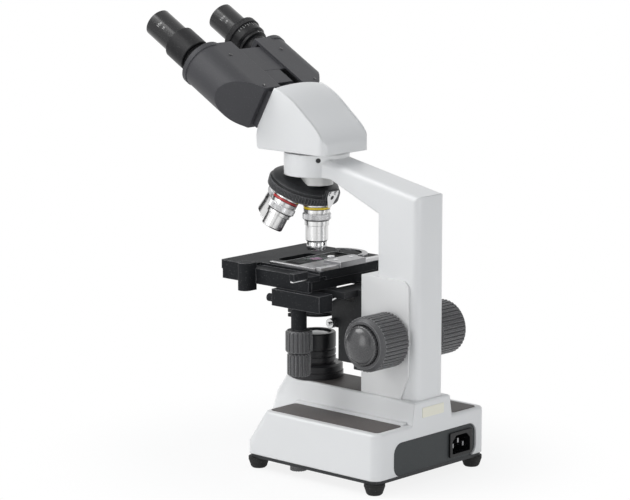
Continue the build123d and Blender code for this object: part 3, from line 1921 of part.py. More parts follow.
with BuildPart() as head_housing:
    with BuildSketch(Plane.YZ) as head_side:
        with BuildLine():
            tip = tube_point(bridge_face, tube_offset + 24.5)
            chin = tube_point(bridge_face, tube_offset - 16.4)
            Line((head_rear_y, head_bottom_z), (head_rear_y, head_band_z))
            band = (head_rear_y, head_band_z)
            Spline(
                band,
                crown(band, tip, 0.118, 0.051),
                crown(band, tip, 0.42, 0.074),
                crown(band, tip, 0.674, 0.076),
                tip,
            )
            Line(tip, chin)
            ThreePointArc(
                chin, (head_front_y - 0.4, head_bottom_z + 12.6), (head_front_y, head_bottom_z + 2.0)
            )
            Line((head_front_y, head_bottom_z + 2.0), (head_front_y + 2.0, head_bottom_z))
            Line((head_front_y + 2.0, head_bottom_z), (head_rear_y, head_bottom_z))
        make_face()
    extrude(amount=head_half_width, both=True)
    upright_edges = head_housing.edges().filter_by(Axis.Z).group_by(Axis.Y)[-1]
    fillet(upright_edges, head_corner_radius)
    upright(spigot_radius, 0, 0, boss_top_z - spigot_depth + 0.3, head_bottom_z + 1)
    upright(light_path_radius, 0, 0, boss_top_z - spigot_depth - 1, mirror_z + 10.5, Mode.SUBTRACT)
    extrude(
        ring_face(tube_plane.offset(mirror_along), light_path_radius, 0, 0, tube_offset),
        amount=bridge_face + 2 - mirror_along,
        mode=Mode.SUBTRACT,
    )
head_housing.part.label = "head_housing"

neck_half = core_half_n - slide_gap
inner_skin = box_wall

with BuildPart() as binocular_bridge:
    lid_block(-bridge_half_x, bridge_half_x, bridge_face, box_near - slide_gap, box_bottom + 3, box_top - 3)
    lid_block(
        -core_half_x,
        core_half_x,
        box_near - 1,
        core_far,
        tube_offset - neck_half,
        tube_offset + neck_half,
    )
    lid_block(
        -core_half_x,
        core_half_x,
        box_near + inner_skin + slide_gap,
        box_near + inner_skin + 4,
        tube_offset - neck_half - 2.4,
        tube_offset + neck_half + 2.4,
    )
    extrude(
        ring_face(tube_plane.offset(bridge_face - 1), light_path_radius, 0, 0, tube_offset),
        amount=30,
        mode=Mode.SUBTRACT,
    )
    lid_block(
        -core_half_x - 1,
        core_half_x + 1,
        light_well_near,
        light_well_far,
        tube_offset - 10,
        tube_offset + 10,
        Mode.SUBTRACT,
    )
binocular_bridge.part.label = "binocular_bridge"

cut_slope = (box_cut_outer - bridge_face) / (tube_half_spacing + box_radius - box_cut_inner_x)
cut_far_x = tube_half_spacing + box_radius + 4
cut_far_along = box_cut_outer + cut_slope * 4
cut_near_along = box_near - 6
cut_near_x = cut_far_x - (cut_far_along - cut_near_along) / cut_slope
plate_top = box_top - inner_skin - 0.1
plate_bottom = plate_top - plate_strip


def prism_box(side):
    """Half of the sliding head: round outer side, cut rear corner, hollow and open inside."""
    section = rect_face(
        tube_plane.offset(box_near), side * box_inner_x, side * tube_half_spacing, box_bottom, box_top
    )
    extrude(section, amount=box_far - box_near)
    extrude(
        ring_face(tube_plane.offset(box_near), box_radius, 0, side * tube_half_spacing, tube_offset),
        amount=box_far - box_near,
    )
    corner = [
        (side * cut_far_x, cut_far_along),
        (side * cut_far_x, cut_near_along),
        (side * cut_near_x, cut_near_along),
    ]
    extrude(
        chain_face(deck_view.offset(-box_top - 2), corner),
        amount=2 * box_radius + 4,
        mode=Mode.SUBTRACT,
    )
    near = box_near + inner_skin
    far = box_far - inner_skin
    shallow = [
        (side * (box_inner_x - 1), near),
        (side * 33.0, near),
        (side * 41.0, near + 8.6),
        (side * 41.0, far),
        (side * (box_inner_x - 1), far),
    ]
    deep = [
        (side * (box_inner_x - 1), near),
        (side * 33.0, near),
        (side * 51.0, near + 19.4),
        (side * 51.0, far),
        (side * (box_inner_x - 1), far),
    ]
    extrude(
        chain_face(deck_view.offset(-box_top + inner_skin), shallow),
        amount=2 * (box_radius - inner_skin),
        mode=Mode.SUBTRACT,
    )
    extrude(
        chain_face(deck_view.offset(-tube_offset - 16), deep),
        amount=32,
        mode=Mode.SUBTRACT,
    )
    # window in the back wall that runs on the bridge's neck
    lid_block(
        side * (box_inner_x - 1),
        side * (box_inner_x + 14.6),
        box_near - 1,
        near + 1,
        tube_offset - core_half_n,
        tube_offset + core_half_n,
        Mode.SUBTRACT,
    )
    extrude(
        ring_face(tube_plane.offset(far - 1), tube_bore, 0, side * tube_half_spacing, tube_offset),
        amount=inner_skin + 2,
        mode=Mode.SUBTRACT,
    )


def cover_strip(side, reach, along0, along1):
    """Thin plate that closes the top of the gap and slides into the other half."""
    lid_block(side * reach, side * (box_inner_x + 5), along0, along1, plate_bottom, plate_top)
    lid_block(
        side * (box_inner_x + 0.5), side * (box_inner_x + 5), along0, along1, plate_bottom, box_top - 1
    )


def end_cap(side):
    """Front cap of a half, with the hole that holds the tube."""
    extrude(
        ring_face(tube_plane.offset(box_far), cap_radius, 0, side * tube_half_spacing, tube_offset),
        amount=cap_far - box_far,
    )
    extrude(
        rect_face(
            tube_plane.offset(box_far),
            side * box_inner_x,
            side * tube_half_spacing,
            box_bottom,
            box_top,
        ),
        amount=cap_far - box_far - 1.6,
    )
    extrude(
        ring_face(tube_plane.offset(box_far - 1), tube_radius, 0, side * tube_half_spacing, tube_offset),
        amount=cap_far - box_far + 2,
        mode=Mode.SUBTRACT,
    )


with BuildPart() as prism_box_right:
    prism_box(1)
    end_cap(1)
    cover_strip(1, rear_strip_reach, box_near + 7.8, box_split - 0.2)
prism_box_right.part.label = "prism_box_right"

with BuildPart() as prism_box_left:
    prism_box(-1)
    end_cap(-1)
    cover_strip(-1, front_strip_reach, box_split + 0.2, box_far - 6.8)
prism_box_left.part.label = "prism_box_left"

right_tube = Plane(
    origin=(tube_half_spacing, *tube_point(0, tube_offset)), x_dir=(1, 0, 0), z_dir=tube_plane.z_dir
)
left_tube = Plane(
    origin=(-tube_half_spacing, *tube_point(0, tube_offset)), x_dir=(1, 0, 0), z_dir=tube_plane.z_dir
)

with BuildPart() as eye_tube_right:
    turned(
        right_tube,
        [
            (tube_bore, box_far),
            (tube_radius, box_far),
            (tube_radius, sleeve_far - 0.5),
            (tube_bore, sleeve_far - 0.5),
        ],
    )
    turned(
        right_tube,
        [
            (tube_radius, sleeve_near),
            (sleeve_radius - 0.6, sleeve_near),
            (sleeve_radius, sleeve_near + 0.6),
            (sleeve_radius, sleeve_far - 2.0),
            (sleeve_radius - 1.4, sleeve_far - 0.6),
            (tube_radius, sleeve_far - 0.6),
        ],
    )
eye_tube_right.part.label = "eye_tube_right"

with BuildPart() as eye_tube_left:
    turned(
        left_tube,
        [
            (tube_bore, box_far),
            (tube_radius, box_far),
            (tube_radius, dioptre_near - 4.0),
            (tube_radius + 2.6, dioptre_near - 3.0),
            (tube_radius + 2.6, dioptre_near - part_gap),
            (tube_radius, dioptre_near - part_gap),
            (tube_radius, dioptre_far),
            (tube_bore, dioptre_far),
        ],
    )
eye_tube_left.part.label = "eye_tube_left"

with BuildPart() as dioptre_ring:
    turned(
        left_tube,
        [
            (tube_radius + bearing_gap, dioptre_near),
            (dioptre_scale_radius - 1.6, dioptre_near),
            (dioptre_scale_radius, dioptre_near + 2.0),
            (dioptre_scale_radius, dioptre_step),
            (tube_radius + bearing_gap, dioptre_step),
        ],
    )
    extrude(
        ribbed_face(left_tube.offset(dioptre_step), dioptre_radius, 0.4, 60, tube_radius + bearing_gap),
        amount=dioptre_far - dioptre_step,
    )
dioptre_ring.part.label = "dioptre_ring"


def eyepiece(tube, seat):
    """Barrel with a lower spigot, stepped for the eye lens."""
    turned(
        tube,
        [
            (9.0, eyepiece_spigot_near),
            (eyepiece_spigot_radius, eyepiece_spigot_near),
            (eyepiece_spigot_radius, seat),
            (eyepiece_radius, seat),
            (eyepiece_radius, eyepiece_far - 0.8),
            (eyepiece_radius - 0.8, eyepiece_far),
            (eye_lens_radius + 1.6, eyepiece_far),
            (eye_lens_radius, eyepiece_far - 2.4),
            (eye_lens_radius, eyepiece_far - 6.0),
            (9.0, eyepiece_far - 6.0),
        ],
    )


def eyepiece_glass(tube):
    """Eye lens and field lens of one eyepiece."""
    turned(
        tube,
        [
            (0, eyepiece_far - 6.0),
            (eye_lens_radius, eyepiece_far - 6.0),
            (eye_lens_radius, eyepiece_far - 3.4),
            (eye_lens_radius * 0.6, eyepiece_far - 2.6),
            (0, eyepiece_far - 2.3),
        ],
    )
    turned(
        tube,
        [
            (0, eyepiece_spigot_near + 2.0),
            (9.0, eyepiece_spigot_near + 3.0),
            (9.0, eyepiece_spigot_near + 5.0),
            (0, eyepiece_spigot_near + 5.0),
        ],
    )


with BuildPart() as eyepiece_right:
    eyepiece(right_tube, sleeve_far)
eyepiece_right.part.label = "eyepiece_right"

with BuildPart() as eyepiece_left:
    eyepiece(left_tube, dioptre_far + 0.1)
eyepiece_left.part.label = "eyepiece_left"

with BuildPart() as eyepiece_lenses_right:
    eyepiece_glass(right_tube)
eyepiece_lenses_right.part.label = "eyepiece_lenses_right"

with BuildPart() as eyepiece_lenses_left:
    eyepiece_glass(left_tube)
eyepiece_lenses_left.part.label = "eyepiece_lenses_left"

# ================================================================ files
for node in (
    base_casting,
    base_plate,
    feet,
    base_thumb_screw,
    base_pads,
    rear_panel,
    mains_inlet,
    inlet_pins,
    label_plate,
    brightness_dial,
    power_board,
    illuminator_housing,
    field_lens,
    lamp_module,
    arm_casting,
    arm_screws,
    focus_covers,
    coarse_shaft,
    coarse_knobs,
    fine_shaft,
    fine_knobs,
    focus_slide_block,
    stage_carrier,
    stage_base_plate,
    stage_top_plate,
    stage_rail,
    slide_holder,
    slide_finger,
    glass_slide,
    drive_block,
    y_drive_knob,
    x_drive_knob,
    condenser_bracket,
    condenser_body,
    condenser_lens,
    iris_ring,
    filter_holder,
    condenser_clamp_screw,
    condenser_stop_lever,
    nosepiece_ring,
    nosepiece_carrier,
    turret,
    turret_pivot,
    click_spring,
    objective_10x,
    objective_4x,
    objective_40x,
    objective_100x,
    objective_lenses,
    head_housing,
    binocular_bridge,
    prism_box_right,
    prism_box_left,
    eye_tube_right,
    eye_tube_left,
    dioptre_ring,
    eyepiece_right,
    eyepiece_left,
    eyepiece_lenses_right,
    eyepiece_lenses_left,
):
    export_step(node.part, "parts/" + node.part.label + ".step")
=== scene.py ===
# %% [markdown]
# # A binocular microscope, dressed over its solid model
# The solid model already holds every piece in its place and says how it moves.
# Here each piece gets its finish, and the small things that the solids leave out
# are added: colour bands, knurled grips, screws, scales, glass and the specimen.

# %% Load the frame
import json
import math

import bmesh
import bpy
from mathutils import Matrix, Vector

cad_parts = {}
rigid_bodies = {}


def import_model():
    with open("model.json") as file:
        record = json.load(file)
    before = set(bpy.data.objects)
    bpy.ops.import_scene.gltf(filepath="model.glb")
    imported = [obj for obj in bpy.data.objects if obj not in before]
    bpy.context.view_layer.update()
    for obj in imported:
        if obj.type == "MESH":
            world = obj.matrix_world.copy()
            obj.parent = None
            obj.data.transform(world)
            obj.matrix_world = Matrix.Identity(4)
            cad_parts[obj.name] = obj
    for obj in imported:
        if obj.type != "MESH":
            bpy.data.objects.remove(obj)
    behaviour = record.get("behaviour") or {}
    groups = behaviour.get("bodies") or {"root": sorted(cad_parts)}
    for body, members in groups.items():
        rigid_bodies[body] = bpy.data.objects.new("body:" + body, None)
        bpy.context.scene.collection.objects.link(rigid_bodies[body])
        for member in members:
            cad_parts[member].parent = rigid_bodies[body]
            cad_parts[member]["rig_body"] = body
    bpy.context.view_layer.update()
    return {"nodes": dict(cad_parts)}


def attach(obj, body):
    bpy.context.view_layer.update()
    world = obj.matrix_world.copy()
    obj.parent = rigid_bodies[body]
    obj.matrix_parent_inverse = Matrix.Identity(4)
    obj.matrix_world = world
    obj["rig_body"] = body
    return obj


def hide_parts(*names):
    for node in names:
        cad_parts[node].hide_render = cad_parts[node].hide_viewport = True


for leftover in list(bpy.data.objects):
    bpy.data.objects.remove(leftover)
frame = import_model()
MM = 0.001
# millimetres: the focus axis, the objectives' collar and the eyepieces' barrel
FOCUS_Y, FOCUS_Z = 106.0, 127.0
COLLAR_RADIUS = 12.0
EYEPIECE_RADIUS = 13.35

# %% [markdown]
# ## The studio
# A pale floor, a white surround and four large soft lamps. Metal needs something
# bright to mirror and something dark beside it, so the lamps are large panels; the
# room looks white to the camera, mirrors and lenses, and lights the rest a soft grey.

# %% Camera
scene = bpy.context.scene
scene.view_settings.view_transform = "Standard"
camera = bpy.data.objects.new("studio_camera", bpy.data.cameras.new("studio_camera"))
scene.collection.objects.link(camera)
scene.camera = camera
camera.data.sensor_width = 36.0
camera.data.lens = 154.3
camera.data.clip_start = 0.05
camera.data.clip_end = 30.0
camera.data.dof.use_dof = False
camera.location = (1.7657, 1.6157, 0.6272)
camera_back = Vector((0.7253, 0.6646, 0.1797)).normalized()
camera.rotation_mode = "QUATERNION"
camera.rotation_quaternion = (-camera_back).to_track_quat("-Z", "Y")
print("camera stands", round(camera.location.length, 2), "m from the lamp")


# %% Lamps and surround
def soft_lamp(name, place, aim, width, height, watts):
    """A rectangular lamp that faces a point."""
    lamp = bpy.data.objects.new(name, bpy.data.lights.new(name, "AREA"))
    lamp.data.shape = "RECTANGLE"
    lamp.data.size = width
    lamp.data.size_y = height
    lamp.data.energy = watts
    lamp.location = place
    lamp.rotation_mode = "QUATERNION"
    lamp.rotation_quaternion = (Vector(aim) - Vector(place)).to_track_quat("-Z", "Y")
    scene.collection.objects.link(lamp)
    return lamp


middle = (0.0, 0.0, 0.2)
soft_lamp("lamp_over", (0.9, -1.2, 1.9), middle, 1.5, 1.5, 33.0)
soft_lamp("lamp_left", (2.1, -0.3, 0.6), middle, 0.8, 1.3, 8.0)
soft_lamp("lamp_right", (-0.7, 2.1, 0.6), middle, 0.6, 1.3, 10.0)
soft_lamp("lamp_low", (1.3, 1.7, 0.35), (0.0, 0.06, 0.03), 1.2, 0.4, 3.4)


def seen_directly(tree):
    """One for rays that come from the camera, a mirror or a lens; nothing for diffuse light."""
    path = tree.nodes.new("ShaderNodeLightPath")
    seen = path.outputs["Is Camera Ray"]
    for kind in ("Is Glossy Ray", "Is Transmission Ray"):
        total = tree.nodes.new("ShaderNodeMath")
        total.operation = "MAXIMUM"
        tree.links.new(seen, total.inputs[0])
        tree.links.new(path.outputs[kind], total.inputs[1])
        seen = total.outputs["Value"]
    return seen


world = bpy.data.worlds.new("studio_world")
scene.world = world
world.use_nodes = True
room = world.node_tree
room.nodes.clear()
room_out = room.nodes.new("ShaderNodeOutputWorld")
room_light = room.nodes.new("ShaderNodeBackground")
room_light.inputs["Color"].default_value = (0.75, 0.78, 0.82, 1.0)
room_light.inputs["Strength"].default_value = 0.42
room_white = room.nodes.new("ShaderNodeBackground")
room_white.inputs["Color"].default_value = (1.0, 1.0, 1.0, 1.0)
room_white.inputs["Strength"].default_value = 1.0
room_mix = room.nodes.new("ShaderNodeMixShader")
room.links.new(seen_directly(room), room_mix.inputs["Fac"])
room.links.new(room_light.outputs["Background"], room_mix.inputs[1])
room.links.new(room_white.outputs["Background"], room_mix.inputs[2])
room.links.new(room_mix.outputs["Shader"], room_out.inputs["Surface"])


# %% Mesh helpers
def finished(name, shape, body, material, smooth=38.0):
    """Turns a bmesh into a piece that rides on a body, shaded smooth up to an angle."""
    bmesh.ops.remove_doubles(shape, verts=shape.verts, dist=1e-6)
    bmesh.ops.recalc_face_normals(shape, faces=shape.faces)
    mesh = bpy.data.meshes.new(name)
    shape.to_mesh(mesh)
    shape.free()
    piece = bpy.data.objects.new(name, mesh)
    scene.collection.objects.link(piece)
    mesh.materials.append(material)
    mesh.shade_smooth()
    mesh.set_sharp_from_angle(angle=math.radians(smooth))
    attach(piece, body)
    return piece


# %% Floor
floor_shape = bmesh.new()
bmesh.ops.create_grid(floor_shape, x_segments=2, y_segments=2, size=6.0)
floor_mesh = bpy.data.meshes.new("studio_floor")
floor_shape.to_mesh(floor_mesh)
floor_shape.free()
floor = bpy.data.objects.new("studio_floor", floor_mesh)
scene.collection.objects.link(floor)
floor_paint = bpy.data.materials.new("floor_paper")
floor_paint.use_nodes = True
paper = floor_paint.node_tree
paper.nodes.clear()
paper_out = paper.nodes.new("ShaderNodeOutputMaterial")
paper_face = paper.nodes.new("ShaderNodeBsdfPrincipled")
paper_face.inputs["Base Color"].default_value = (0.95, 0.95, 0.95, 1.0)
paper_face.inputs["Roughness"].default_value = 0.9
paper_face.inputs["Specular IOR Level"].default_value = 0.1
paper_glow = paper.nodes.new("ShaderNodeEmission")
paper_glow.inputs["Strength"].default_value = 1.0
paper_place = paper.nodes.new("ShaderNodeTexCoord")
paper_reach = paper.nodes.new("ShaderNodeVectorMath")
paper_reach.operation = "LENGTH"
paper.links.new(paper_place.outputs["Object"], paper_reach.inputs[0])
paper_fade = paper.nodes.new("ShaderNodeMapRange")
paper_fade.interpolation_type = "SMOOTHSTEP"
paper_fade.inputs["From Min"].default_value = 0.10
paper_fade.inputs["From Max"].default_value = 0.28
paper_fade.inputs["To Min"].default_value = 0.84
paper_fade.inputs["To Max"].default_value = 1.0
paper.links.new(paper_reach.outputs["Value"], paper_fade.inputs["Value"])
paper_gate = paper.nodes.new("ShaderNodeMath")
paper_gate.operation = "MULTIPLY"
paper.links.new(seen_directly(paper), paper_gate.inputs[0])
paper.links.new(paper_fade.outputs["Result"], paper_gate.inputs[1])
paper_mix = paper.nodes.new("ShaderNodeMixShader")
paper.links.new(paper_gate.outputs["Value"], paper_mix.inputs["Fac"])
paper.links.new(paper_face.outputs["BSDF"], paper_mix.inputs[1])
paper.links.new(paper_glow.outputs["Emission"], paper_mix.inputs[2])
paper.links.new(paper_mix.outputs["Shader"], paper_out.inputs["Surface"])
floor_mesh.materials.append(floor_paint)
print("floor laid")

# %% Dark cards
# Three black cards stand round the stage, and only mirrors see them: round chrome
# then shows the dark streaks that let the eye read it as round.
card_black = bpy.data.materials.new("card_black")
card_black.use_nodes = True
card_face = card_black.node_tree.nodes["Principled BSDF"]
card_face.inputs["Base Color"].default_value = (0.01, 0.01, 0.01, 1.0)
card_face.inputs["Roughness"].default_value = 0.9
CARD_DISTANCE = 1.5
card_top = Vector((0, 0, 1.3))
cards = (("card_left", -80.0, 0.60), ("card_right", 134.0, 0.45), ("card_middle", 45.0, 0.22))
for name, bearing, half_width in cards:
    angle = math.radians(bearing)
    across = Vector((-math.sin(angle), math.cos(angle), 0.0)) * half_width
    foot = Vector((math.cos(angle), math.sin(angle), 0.0)) * CARD_DISTANCE
    card_shape = bmesh.new()
    corners = [foot - across, foot + across, foot + across + card_top, foot - across + card_top]
    card_shape.faces.new([card_shape.verts.new(corner) for corner in corners])
    card_mesh = bpy.data.meshes.new(name)
    card_shape.to_mesh(card_mesh)
    card_shape.free()
    card_mesh.materials.append(card_black)
    card = bpy.data.objects.new(name, card_mesh)
    scene.collection.objects.link(card)
    card.visible_camera = False
    card.visible_diffuse = False
    card.visible_shadow = False
    card.visible_transmission = False
print("cards stand round the stage")

# %% [markdown]
# ## Finishes
# Three effects are shared. *Cast grain* is the fine orange peel and the faint
# cloudiness of sprayed enamel. *Soft edge* looks a fraction of a millimetre to
# each side, so that crisp edges catch light, and masks them for a painted highlight
# (a painted dark rim on the satin barrels).
# *Handled* is the uneven gloss that fingers leave on knobs and tubes.


# %% Node group tools
def new_group(name, inputs, outputs):
    """An empty shader group with named sockets; returns it with its two end nodes."""
    group = bpy.data.node_groups.new(name, "ShaderNodeTree")
    for label, kind, value in inputs:
        socket = group.interface.new_socket(label, in_out="INPUT", socket_type=kind)
        socket.default_value = value
    for label, kind in outputs:
        group.interface.new_socket(label, in_out="OUTPUT", socket_type=kind)
    return group, group.nodes.new("NodeGroupInput"), group.nodes.new("NodeGroupOutput")


def noise(tree, scale, detail=3.0, rough=0.55):
    """A noise texture on the piece's own coordinates."""
    place = tree.nodes.new("ShaderNodeTexCoord")
    cloud = tree.nodes.new("ShaderNodeTexNoise")
    cloud.inputs["Scale"].default_value = scale
    cloud.inputs["Detail"].default_value = detail
    cloud.inputs["Roughness"].default_value = rough
    tree.links.new(place.outputs["Object"], cloud.inputs["Vector"])
    return cloud


def sum_of(tree, kind, first, second):
    """A math node on two sockets or numbers."""
    node = tree.nodes.new("ShaderNodeMath")
    node.operation = kind
    for place, value in enumerate((first, second)):
        if isinstance(value, (int, float)):
            node.inputs[place].default_value = value
        else:
            tree.links.new(value, node.inputs[place])
    return node.outputs["Value"]


# %% Cast grain group
FLOAT, COLOUR, VECTOR = "NodeSocketFloat", "NodeSocketColor", "NodeSocketVector"
grain_group, grain_in, grain_out = new_group(
    "cast_grain",
    [
        ("Colour", COLOUR, (0.8, 0.8, 0.8, 1.0)),
        ("Cloud", FLOAT, 0.04),
        ("Roughness", FLOAT, 0.4),
        ("Grain Size", FLOAT, 1400.0),
    ],
    [("Colour", COLOUR), ("Roughness", FLOAT), ("Height", FLOAT)],
)
cloud = noise(grain_group, 9.0, 4.0)
fine = noise(grain_group, 1400.0, 2.0)
grain_group.links.new(grain_in.outputs["Grain Size"], fine.inputs["Scale"])
swing = sum_of(grain_group, "SUBTRACT", cloud.outputs["Fac"], 0.5)
swing = sum_of(grain_group, "MULTIPLY", swing, grain_in.outputs["Cloud"])
swing = sum_of(grain_group, "MULTIPLY", swing, 4.0)
lift = sum_of(grain_group, "ADD", swing, 1.0)
tone = grain_group.nodes.new("ShaderNodeVectorMath")
tone.operation = "SCALE"
grain_group.links.new(grain_in.outputs["Colour"], tone.inputs[0])
grain_group.links.new(lift, tone.inputs["Scale"])
grain_group.links.new(tone.outputs["Vector"], grain_out.inputs["Colour"])
patch = sum_of(grain_group, "SUBTRACT", fine.outputs["Fac"], 0.5)
patch = sum_of(grain_group, "MULTIPLY", patch, 0.22)
patch = sum_of(grain_group, "ADD", patch, swing)
patch = sum_of(grain_group, "ADD", patch, grain_in.outputs["Roughness"])
grain_group.links.new(patch, grain_out.inputs["Roughness"])
grain_group.links.new(fine.outputs["Fac"], grain_out.inputs["Height"])
print("cast grain has", len(grain_group.nodes), "nodes")

# %% Soft edge group
edge_group, edge_in, edge_out = new_group(
    "soft_edge",
    [("Radius", FLOAT, 0.0005), ("Strength", FLOAT, 1.0)],
    [("Normal", VECTOR), ("Edge", FLOAT)],
)
round_off = edge_group.nodes.new("ShaderNodeBevel")
round_off.samples = 4
true_face = edge_group.nodes.new("ShaderNodeNewGeometry")
facing = edge_group.nodes.new("ShaderNodeVectorMath")
facing.operation = "DOT_PRODUCT"
edge_group.links.new(edge_in.outputs["Radius"], round_off.inputs["Radius"])
edge_group.links.new(round_off.outputs["Normal"], facing.inputs[0])
edge_group.links.new(true_face.outputs["Normal"], facing.inputs[1])
turned_away = sum_of(edge_group, "SUBTRACT", 1.0, facing.outputs["Value"])
turned_away = sum_of(edge_group, "MULTIPLY", turned_away, 6.0)
turned_away = sum_of(edge_group, "MULTIPLY", turned_away, edge_in.outputs["Strength"])
limited = edge_group.nodes.new("ShaderNodeClamp")
edge_group.links.new(turned_away, limited.inputs["Value"])
edge_group.links.new(limited.outputs["Result"], edge_out.inputs["Edge"])
edge_group.links.new(round_off.outputs["Normal"], edge_out.inputs["Normal"])
print("soft edge looks", edge_group.interface.items_tree[2].name)

# %% Handled group
hand_group, hand_in, hand_out = new_group(
    "handled",
    [("Amount", FLOAT, 0.1)],
    [("Roughness", FLOAT), ("Dust", FLOAT)],
)
smear = noise(hand_group, 60.0, 5.0, 0.7)
specks = noise(hand_group, 900.0, 2.0, 0.6)
smear_swing = sum_of(hand_group, "SUBTRACT", smear.outputs["Fac"], 0.5)
smear_swing = sum_of(hand_group, "MULTIPLY", smear_swing, hand_in.outputs["Amount"])
hand_group.links.new(smear_swing, hand_out.inputs["Roughness"])
speck_cut = sum_of(hand_group, "SUBTRACT", specks.outputs["Fac"], 0.62)
speck_cut = sum_of(hand_group, "MULTIPLY", speck_cut, 9.0)
speck_limit = hand_group.nodes.new("ShaderNodeClamp")
hand_group.links.new(speck_cut, speck_limit.inputs["Value"])
dust_amount = sum_of(
    hand_group, "MULTIPLY", speck_limit.outputs["Result"], hand_in.outputs["Amount"]
)
hand_group.links.new(dust_amount, hand_out.inputs["Dust"])
print("handled group ready")

# %% [markdown]
# A finish is then one Principled shader fed by the three groups. Numbers that are
# the same all over, such as the metal share or the coat, go straight on its sockets.


# %% Finish builder
def place_group(tree, group, **values):
    """Puts a shared group into a material with its own values."""
    node = tree.nodes.new("ShaderNodeGroup")
    node.node_tree = group
    for label, value in values.items():
        node.inputs[label.replace("_", " ")].default_value = value
    return node


def finish(
    name,
    colour,
    rough,
    metal=0.0,
    cloud=0.03,
    grain=1400.0,
    bump=0.06,
    edge=0.0005,
    edge_shading_colour=None,
    edge_strength=0.6,
    coat=0.0,
    coat_rough=0.15,
    handling=0.08,
    specular=0.5,
):
    """A solid finish: grain, rounded edges with painted edge shading (mostly a painted highlight), and
    handling.
    """
    material = bpy.data.materials.new(name)
    material.use_nodes = True
    tree = material.node_tree
    shader = tree.nodes["Principled BSDF"]
    shader.inputs["Metallic"].default_value = metal
    shader.inputs["Coat Weight"].default_value = coat
    shader.inputs["Coat Roughness"].default_value = coat_rough
    shader.inputs["Specular IOR Level"].default_value = specular
    skin = place_group(
        tree, grain_group, Colour=(*colour, 1.0), Cloud=cloud, Roughness=rough, Grain_Size=grain
    )
    rim = place_group(tree, edge_group, Radius=edge, Strength=edge_strength)
    touched = place_group(tree, hand_group, Amount=handling)
    # The edge mask mixes in the edge tone, which is painted light: a painted highlight on most finishes, a
    # painted dark rim on the satin barrels.
    tint = tree.nodes.new("ShaderNodeMix")
    tint.data_type = "RGBA"
    tint.inputs[7].default_value = (*(edge_shading_colour or colour), 1.0)
    tree.links.new(rim.outputs["Edge"], tint.inputs[0])
    tree.links.new(skin.outputs["Colour"], tint.inputs[6])
    dusty = tree.nodes.new("ShaderNodeMix")
    dusty.data_type = "RGBA"
    dusty.inputs[7].default_value = (0.55, 0.54, 0.52, 1.0)
    tree.links.new(touched.outputs["Dust"], dusty.inputs[0])
    tree.links.new(tint.outputs[2], dusty.inputs[6])
    tree.links.new(dusty.outputs[2], shader.inputs["Base Color"])
    gloss = sum_of(tree, "ADD", skin.outputs["Roughness"], touched.outputs["Roughness"])
    tree.links.new(gloss, shader.inputs["Roughness"])
    relief = tree.nodes.new("ShaderNodeBump")
    relief.inputs["Strength"].default_value = bump
    relief.inputs["Distance"].default_value = 0.0003
    tree.links.new(skin.outputs["Height"], relief.inputs["Height"])
    tree.links.new(rim.outputs["Normal"], relief.inputs["Normal"])
    tree.links.new(relief.outputs["Normal"], shader.inputs["Normal"])
    return material


# %% Enamel, blacks and metals
# Each edge tone below is painted light along the edges: lighter than the body as a painted highlight, darker
# on barrel_satin as a painted dark rim.
enamel = finish("white_enamel", (0.77, 0.775, 0.775), 0.36, cloud=0.012, bump=0.05, edge=0.0018,
    edge_shading_colour=(0.80, 0.80, 0.80), coat=0.25, coat_rough=0.25, handling=0.03)
cover_enamel = finish("cover_enamel", (0.80, 0.80, 0.795), 0.34, cloud=0.01, bump=0.04, edge=0.0011,
    edge_shading_colour=(0.90, 0.90, 0.90), coat=0.25, coat_rough=0.25, handling=0.03)
stand_black = finish("stand_black", (0.024, 0.025, 0.027), 0.46, cloud=0.05, bump=0.1,
    edge_shading_colour=(0.07, 0.07, 0.075), handling=0.10, specular=0.35)
nose_black = finish("nose_black", (0.022, 0.023, 0.025), 0.42, cloud=0.05, bump=0.08, grain=2200.0,
    edge_shading_colour=(0.34, 0.34, 0.35), edge_strength=1.0, handling=0.10, specular=0.35)
stage_black = finish("stage_black", (0.017, 0.018, 0.020), 0.55, cloud=0.05, bump=0.12, grain=2600.0,
    edge=0.0006, edge_shading_colour=(0.34, 0.34, 0.35), edge_strength=1.0, handling=0.12, specular=0.08)
head_grey = finish("head_grey", (0.050, 0.050, 0.055), 0.46, cloud=0.04, bump=0.12, grain=2200.0,
    edge=0.0008, edge_shading_colour=(0.11, 0.11, 0.12), handling=0.07, specular=0.35)
tube_black = finish("tube_black", (0.012, 0.012, 0.013), 0.36, cloud=0.05, bump=0.05,
    edge_shading_colour=(0.10, 0.10, 0.102), handling=0.10, specular=0.22)
eyepiece_black = finish("eyepiece_black", (0.010, 0.010, 0.011), 0.20, cloud=0.04, bump=0.02,
    edge_shading_colour=(0.12, 0.12, 0.12), handling=0.10, specular=0.45)
knob_black = finish("knob_black", (0.070, 0.070, 0.073), 0.44, cloud=0.06, bump=0.10,
    edge=0.0006, edge_shading_colour=(0.42, 0.42, 0.42), edge_strength=1.0, handling=0.14, specular=0.5)
knob_gloss = finish("knob_gloss", (0.052, 0.052, 0.054), 0.26, cloud=0.05, bump=0.03,
    edge_shading_colour=(0.34, 0.34, 0.34), edge_strength=0.9, coat=0.3, coat_rough=0.12, handling=0.10)
gloss_black = finish("gloss_black", (0.008, 0.008, 0.009), 0.22, bump=0.02, edge_shading_colour=(0.04, 0.04, 0.04),
    handling=0.06, specular=0.35)
lamp_black = finish("lamp_black", (0.016, 0.016, 0.018), 0.34, bump=0.06, edge_shading_colour=(0.10, 0.10, 0.10),
    handling=0.08, specular=0.35)
rubber_black = finish("rubber_black", (0.018, 0.018, 0.018), 0.72, cloud=0.08, bump=0.3, grain=1800.0,
    edge_shading_colour=(0.05, 0.05, 0.05), handling=0.12, specular=0.25)
